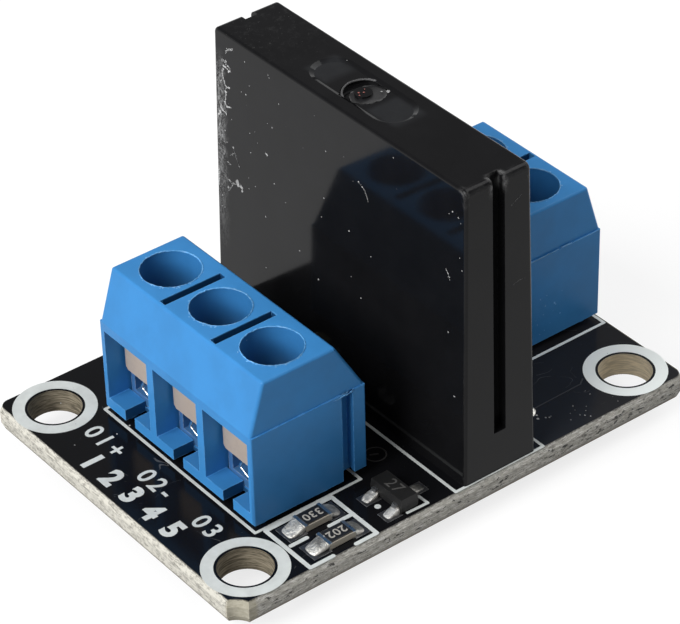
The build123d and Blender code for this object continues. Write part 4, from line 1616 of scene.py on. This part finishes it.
@dataclass
class SolderJoint:
    """One melted joint: a ramp from the end of a part down to the rim of its pad."""

    centre: Point
    reach: Triple
    way: float
    seed: int
    rim: float = 0.12
    pull: float = 0.12
    shrink: float = 0.8
    surface: float = 1.58
    ragged: float = 0.09
    pad_height: float = 0.035
    pad_sunk: float = 0.01
    pad_slide: float = 0.08
    pad_margin: Point = (0.1, 0.3)
    pad_bevel: float = 0.012

    def build(self) -> bpy.types.Object:
        """Models the joint on its pad.

        Returns:
            The joint, without a name or slot yet.
        """
        ramp = self.ramp()
        pad = self.pad()
        pad.data.materials.append(PADS.material())
        ramp.data.materials.append(MELTED.material())
        return Bench.joined([ramp, pad])

    def ramp(self) -> bpy.types.Object:
        """Models the melted ramp.

        Returns:
            The ramp.
        """
        height = self.reach[2]
        x, y = self.centre
        Bench.clear()
        bpy.ops.mesh.primitive_cube_add(size=MILLIMETRE, location=metres(x, y, self.surface + height / 2))
        ramp = bpy.context.object
        ramp.scale = self.reach
        Bench.settle(ramp)
        Bench.edit(ramp)
        bpy.ops.mesh.select_all(action="DESELECT")
        bpy.ops.object.mode_set(mode="OBJECT")
        for point in ramp.data.vertices:
            outer = (point.co.x - x * MILLIMETRE) * self.way > 0
            point.select = outer and point.co.z > (self.surface + height / 2) * MILLIMETRE
        bpy.ops.object.mode_set(mode="EDIT")
        bpy.ops.transform.translate(value=metres(-self.pull * self.way, 0.0, self.rim - height))
        bpy.ops.transform.resize(value=(1.0, self.shrink, 1.0),
                                 center_override=metres(x, y, self.surface + self.rim))
        bpy.ops.mesh.select_all(action="SELECT")
        bpy.ops.mesh.subdivide(number_cuts=1)
        bpy.ops.object.mode_set(mode="OBJECT")
        Bench.ragged(ramp, self.ragged, self.seed)
        Bench.modified(ramp, "SUBSURF", levels=3)
        bpy.ops.object.shade_smooth()
        return ramp

    def pad(self) -> bpy.types.Object:
        """Models the bevelled pad under the ramp.

        Returns:
            The pad.
        """
        Bench.clear()
        bpy.ops.mesh.primitive_cube_add(size=MILLIMETRE, location=metres(
            self.centre[0] + self.pad_slide * self.way, self.centre[1],
            BOARD_HEIGHT + self.pad_height / 2 - self.pad_sunk))
        pad = bpy.context.object
        pad.scale = (self.reach[0] + self.pad_margin[0], self.reach[1] + self.pad_margin[1], self.pad_height)
        Bench.settle(pad)
        Bench.modified(pad, "BEVEL", width=self.pad_bevel * MILLIMETRE, segments=2)
        return pad


@dataclass
class ChipDetail:
    """Solder joints and plain figures of the small parts."""

    resistors: tuple[str, ...] = ("resistor_1", "resistor_2")
    joint_lengths: Point = (1.2, 0.95)
    joint_reach: Point = (1.2, 0.6)
    joint_overlap: float = 0.14
    transistor_joints: tuple = (
        ((-5.3, -9.5), (1.05, 0.72, 0.5), -1.0), ((-5.25, -11.45), (1.05, 0.72, 0.5), -1.0),
        ((-2.6, -10.6), (0.8, 0.65, 0.3), 1.0))
    figures: tuple = (
        ("resistor_1", "glaze", Figures("330", 0.62, 180.0, 0.012, 1.1), PALE_INK, Slot.GLAZE),
        ("resistor_2", "glaze", Figures("202", 0.62, 180.0, 0.012, 1.1), PALE_INK, Slot.GLAZE),
        ("transistor", "body", Figures("27", 0.85, -90.0, 0.0, 1.1), FAINT_INK, Slot.MOULD))
    figure_thickness: float = 0.012
    seeds: tuple[int, int, int] = (21, 31, 41)

    def build(self) -> None:
        """Models every joint and prints every figure."""
        left, right = self.joint_lengths
        left_seed, right_seed, lead_seed = self.seeds
        for number, part in enumerate(self.resistors):
            low, high = self.box(f"{part}_caps")
            middle = (low.y + high.y) / 2
            self.join(f"{part}_joints", f"{part}_solder", (
                SolderJoint((low.x - left / 2 + self.joint_overlap, middle), (left, *self.joint_reach), -1.0,
                            left_seed + number),
                SolderJoint((high.x + right / 2 - self.joint_overlap, middle), (right, *self.joint_reach), 1.0,
                            right_seed + number)))
        self.join("transistor_joints", "transistor_solder", [
            SolderJoint(*joint, lead_seed + number) for number, joint in enumerate(self.transistor_joints)])
        for part, face, figures, finish, slot in self.figures:
            low, high = self.box(f"{part}_{face}")
            printer = Print(surface=high.z, thickness=self.figure_thickness)
            printer.words(f"{part}_figures", ((low.x + high.x) / 2, (low.y + high.y) / 2), figures, finish, slot)

    @staticmethod
    def box(node: str) -> tuple[Vector, Vector]:
        """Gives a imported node's lowest and highest corner in millimetres."""
        low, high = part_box(node)
        return Vector(low) / MILLIMETRE, Vector(high) / MILLIMETRE

    @staticmethod
    def join(name: str, node: str, joints: Sequence[SolderJoint]) -> None:
        """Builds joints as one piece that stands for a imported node.

        Args:
            name: The piece's name.
            node: The node that it stands for.
            joints: The joints.
        """
        piece = Bench.joined([joint.build() for joint in joints])
        Bench.assign(piece, name, Slot.SOLDER)
        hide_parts(node)


@dataclass
class HousingDetail:
    """Moulding flash round the wells, torn edges, a painted shoulder highlight and the bright window lips."""

    upright: Triple = (0.0, 0.0, 1.0)
    well_radius: float = 1.9
    bead: float = 0.035
    bead_sides: tuple[int, int] = (110, 6)
    bead_seed: int = 50
    fleck_count: int = 16
    fleck_angle: Point = (235.0, 60.0)
    fleck_reach: Point = (-0.02, 0.14)
    fleck_size: Point = (0.05, 0.13)
    groove_y: float = -7.75
    groove_burr: tuple[Stroke, ...] = (
        (0.12, ((-6.5, 8.36), (-6.1, 8.32), (-5.7, 8.42), (-5.35, 8.36), (-4.95, 8.44))),
        (0.07, ((-5.9, 8.5), (-5.6, 8.56), (-5.3, 8.5))), (0.06, ((-5.15, 8.46), (-4.95, 8.6))))
    rib_proud: float = 0.55
    # Painted highlight: pale lines along the output housing's shoulder.
    shoulder_z: float = 8.5
    shoulder: tuple[Stroke, ...] = (
        (0.1, ((8.2, 0.0), (10.5, 0.0), (12.0, -0.01), (13.5, 0.03))), (0.1, ((13.75, 0.06), (14.6, 0.02))),
        (0.09, ((14.7, 0.0), (15.9, -0.01), (16.9, 0.0))))
    side_flecks: tuple[Triple, ...] = (
        (12.11, 5.34, 0.08), (12.51, 4.68, 0.1), (13.27, 4.58, 0.12), (13.75, 3.58, 0.1), (12.35, 4.08, 0.09),
        (11.76, 3.9, 0.07), (11.89, 3.51, 0.09), (12.48, 2.83, 0.07), (12.94, 3.18, 0.06), (13.88, 5.24, 0.06),
        (12.1, 2.68, 0.08), (13.18, 4.04, 0.06), (13.38, 4.44, 0.1), (12.63, 5.43, 0.07))
    lip: tuple[Point, ...] = ((0.3, 4.68), (0.5, 4.3), (0.8, 3.8), (0.35, 3.62), (-0.15, 3.44), (-0.6, 3.25))
    lip_depth: float = 1.46
    lip_width: float = 0.3
    lip_rough: float = 0.03

    def build(self) -> None:
        """Adds the flash, the torn edges, the painted shoulder highlight and the lips of both housings."""
        for side, wells in (("input", INPUT_WELLS), ("output", OUTPUT_WELLS)):
            beads = [self.flash(centre, number) for number, centre in enumerate(wells)]
            Bench.dress(Bench.joined(beads), f"{side}_well_flash", FLASH_AND_HIGHLIGHT, Slot.BLUE)
            top = Marks(Facet((0.0, 0.0, HOUSING_TOP)), flatness=0.4)
            top.crumbs(f"{side}_well_flecks", self.flecks(wells), FLASH_AND_HIGHLIGHT, Slot.BLUE)
        groove = Facet((0.0, self.groove_y, 0.0), up=self.upright)
        Marks(groove, flatness=0.5).lines("groove_burr", self.groove_burr, FLASH_AND_HIGHLIGHT, Slot.BLUE, rough=0.05)
        side_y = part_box("output_housing")[0].y / MILLIMETRE + self.rib_proud
        # Painted highlight along the output housing's shoulder.
        shoulder = Facet((0.0, side_y, self.shoulder_z), up=self.upright)
        Marks(shoulder, flatness=0.5).lines("output_shoulder_highlight", self.shoulder, FLASH_AND_HIGHLIGHT, Slot.BLUE, rough=0.02)
        face = Facet((0.0, side_y, 0.0), up=self.upright)
        Marks(face, flatness=0.4).crumbs("output_side_flecks", self.side_flecks, FLASH_AND_HIGHLIGHT, Slot.BLUE)
        self.lips("input", INPUT_WELLS, INPUT_LIP + self.lip_depth, -1.0)
        self.lips("output", OUTPUT_WELLS, OUTPUT_LIP - self.lip_depth, 1.0)

    def flash(self, centre: Point, number: int) -> bpy.types.Object:
        """Models the thin torn bead round one well.

        Args:
            centre: The well's centre.
            number: The well's number in its housing.

        Returns:
            The bead.
        """
        Bench.clear()
        bpy.ops.mesh.primitive_torus_add(
            major_segments=self.bead_sides[0], minor_segments=self.bead_sides[1],
            major_radius=self.well_radius * MILLIMETRE, minor_radius=self.bead * MILLIMETRE,
            location=metres(*centre, HOUSING_TOP))
        bead = Bench.started()
        Bench.ragged(bead, self.bead, self.bead_seed + number)
        return bead

    def flecks(self, wells: Sequence[Point]) -> list[Triple]:
        """Scatters flecks round the wells, more of them at the near side.

        Args:
            wells: The wells' centres.

        Returns:
            Each fleck's place and size.
        """
        chance = random.Random(len(wells))
        found = []
        for x, y in wells:
            for _ in range(self.fleck_count):
                angle = math.radians(chance.gauss(*self.fleck_angle))
                reach = self.well_radius + chance.uniform(*self.fleck_reach)
                found.append((x + reach * math.cos(angle), y + reach * math.sin(angle),
                              chance.uniform(*self.fleck_size)))
        return found

    def lips(self, side: str, wells: Sequence[Point], x: float, way: float) -> None:
        """Bends one bright sheared lip under the contact plate of each window.

        Args:
            side: The housing's name.
            wells: The wells' centres, one for each window.
            x: Where the lips lie along the board.
            way: Which way a window's right lies, 1 towards +Y.
        """
        for number, (_, y) in enumerate(wells, 1):
            facet = Facet((x, y, 0.0), (0.0, way, 0.0), self.upright)
            Marks(facet).lines(f"{side}_lip_{number}", ((self.lip_width, [(-left, up) for left, up in self.lip]),),
                               BRIGHT, Slot.CAGE, self.lip_rough)


def node_finishes() -> dict[Slot, Finish]:
    """Gives the finish of each material slot.

    Returns:
        The finishes by slot.
    """
    return {
        Slot.MASK: BoardFinish("board mask and laminate"),
        # The relay's dust colour also paints the highlight on its front top edges.
        Slot.RELAY: RelayPlastic("relay case plastic", colour=(0.0068, 0.0068, 0.0075), worn=(0.03, 0.03, 0.032),
                                 dust=(0.4, 0.4, 0.4), roughness=0.09, specular=0.135, skin_height=0.0012,
                                 skin_scale=3.0, wear_amount=0.4, dust_scale=1.3, dust_size=0.05,
                                 dust_share=0.1),
        Slot.RESIN: MouldedPlastic("relay base resin", colour=(0.02, 0.02, 0.02), roughness=0.6),
        Slot.BLUE: HousingPlastic("blue housing plastic", colour=(0.046, 0.238, 0.555), worn=(0.17, 0.44, 0.8),
                                  dust=(0.4, 0.55, 0.7), roughness=0.36, specular=0.15, tone_share=0.06,
                                  skin_height=0.006, wear_amount=0.7, dust_scale=1.3, dust_size=0.04,
                                  dust_share=0.12),
        Slot.TIN: Metal("tinned lead", colour=(0.7, 0.7, 0.69)),
        Slot.CONTACT: Metal("contact plate", colour=(0.55, 0.46, 0.39), dull=(0.42, 0.35, 0.3), roughness=0.45,
                            streaks=Pattern(6.0, 3.0, 0.6, stretch=(1.0, 6.0, 1.0)), metallic=0.45),
        Slot.CAGE: Metal("cage plating", colour=(0.07, 0.2, 0.42), dull=(0.04, 0.13, 0.3), roughness=0.42,
                         metallic=0.35),
        Slot.SCREW: Metal("screw plating", colour=(0.7, 0.7, 0.68), roughness=0.24),
        Slot.SOLDER: MELTED,
        Slot.CERAMIC: Ceramic("chip ceramic"),
        Slot.GLAZE: MouldedPlastic("chip glaze", colour=(0.012, 0.012, 0.013), worn=(0.05, 0.05, 0.05),
                                   roughness=0.4),
        Slot.MOULD: MouldedPlastic("mould compound", colour=(0.012, 0.012, 0.012), worn=(0.035, 0.035, 0.035),
                                   roughness=0.55, specular=0.25, skin_height=0.012, skin_scale=22.0),
        Slot.LENS: MouldedPlastic("lens resin", colour=(0.6, 0.56, 0.36), worn=(0.7, 0.68, 0.5), roughness=0.15),
    }


def dress_nodes(nodes: Mapping[str, bpy.types.Object], record: Mapping) -> None:
    """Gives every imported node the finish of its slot.

    Args:
        nodes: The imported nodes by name.
        record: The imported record.
    """
    finishes = node_finishes()
    for part in record["subparts"]:
        node = nodes[part["node"]]
        finish = finishes[Slot(part["material_slot"])]
        for place in node.material_slots:
            place.material = finish.material()
        LOG.info("node %s has %s", node.name, finish.name)


def corners() -> list[list[float]]:
    """Gives the lowest and highest corner of the shown object's box in metres."""
    return [list(corner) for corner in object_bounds()]


def main() -> None:
    """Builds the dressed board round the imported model."""
    logging.basicConfig(level=logging.INFO, format="%(message)s")
    for thing in list(bpy.data.objects):
        bpy.data.objects.remove(thing)
    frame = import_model()
    solid_box = corners()
    Bench.clear()
    Studio().build(solid_box[0][2])
    dress_nodes(frame["nodes"], frame["record"])
    Print().build()
    RelayWear().build()
    HousingDetail().build()
    ChipDetail().build()


if __name__ == "__main__":
    main()
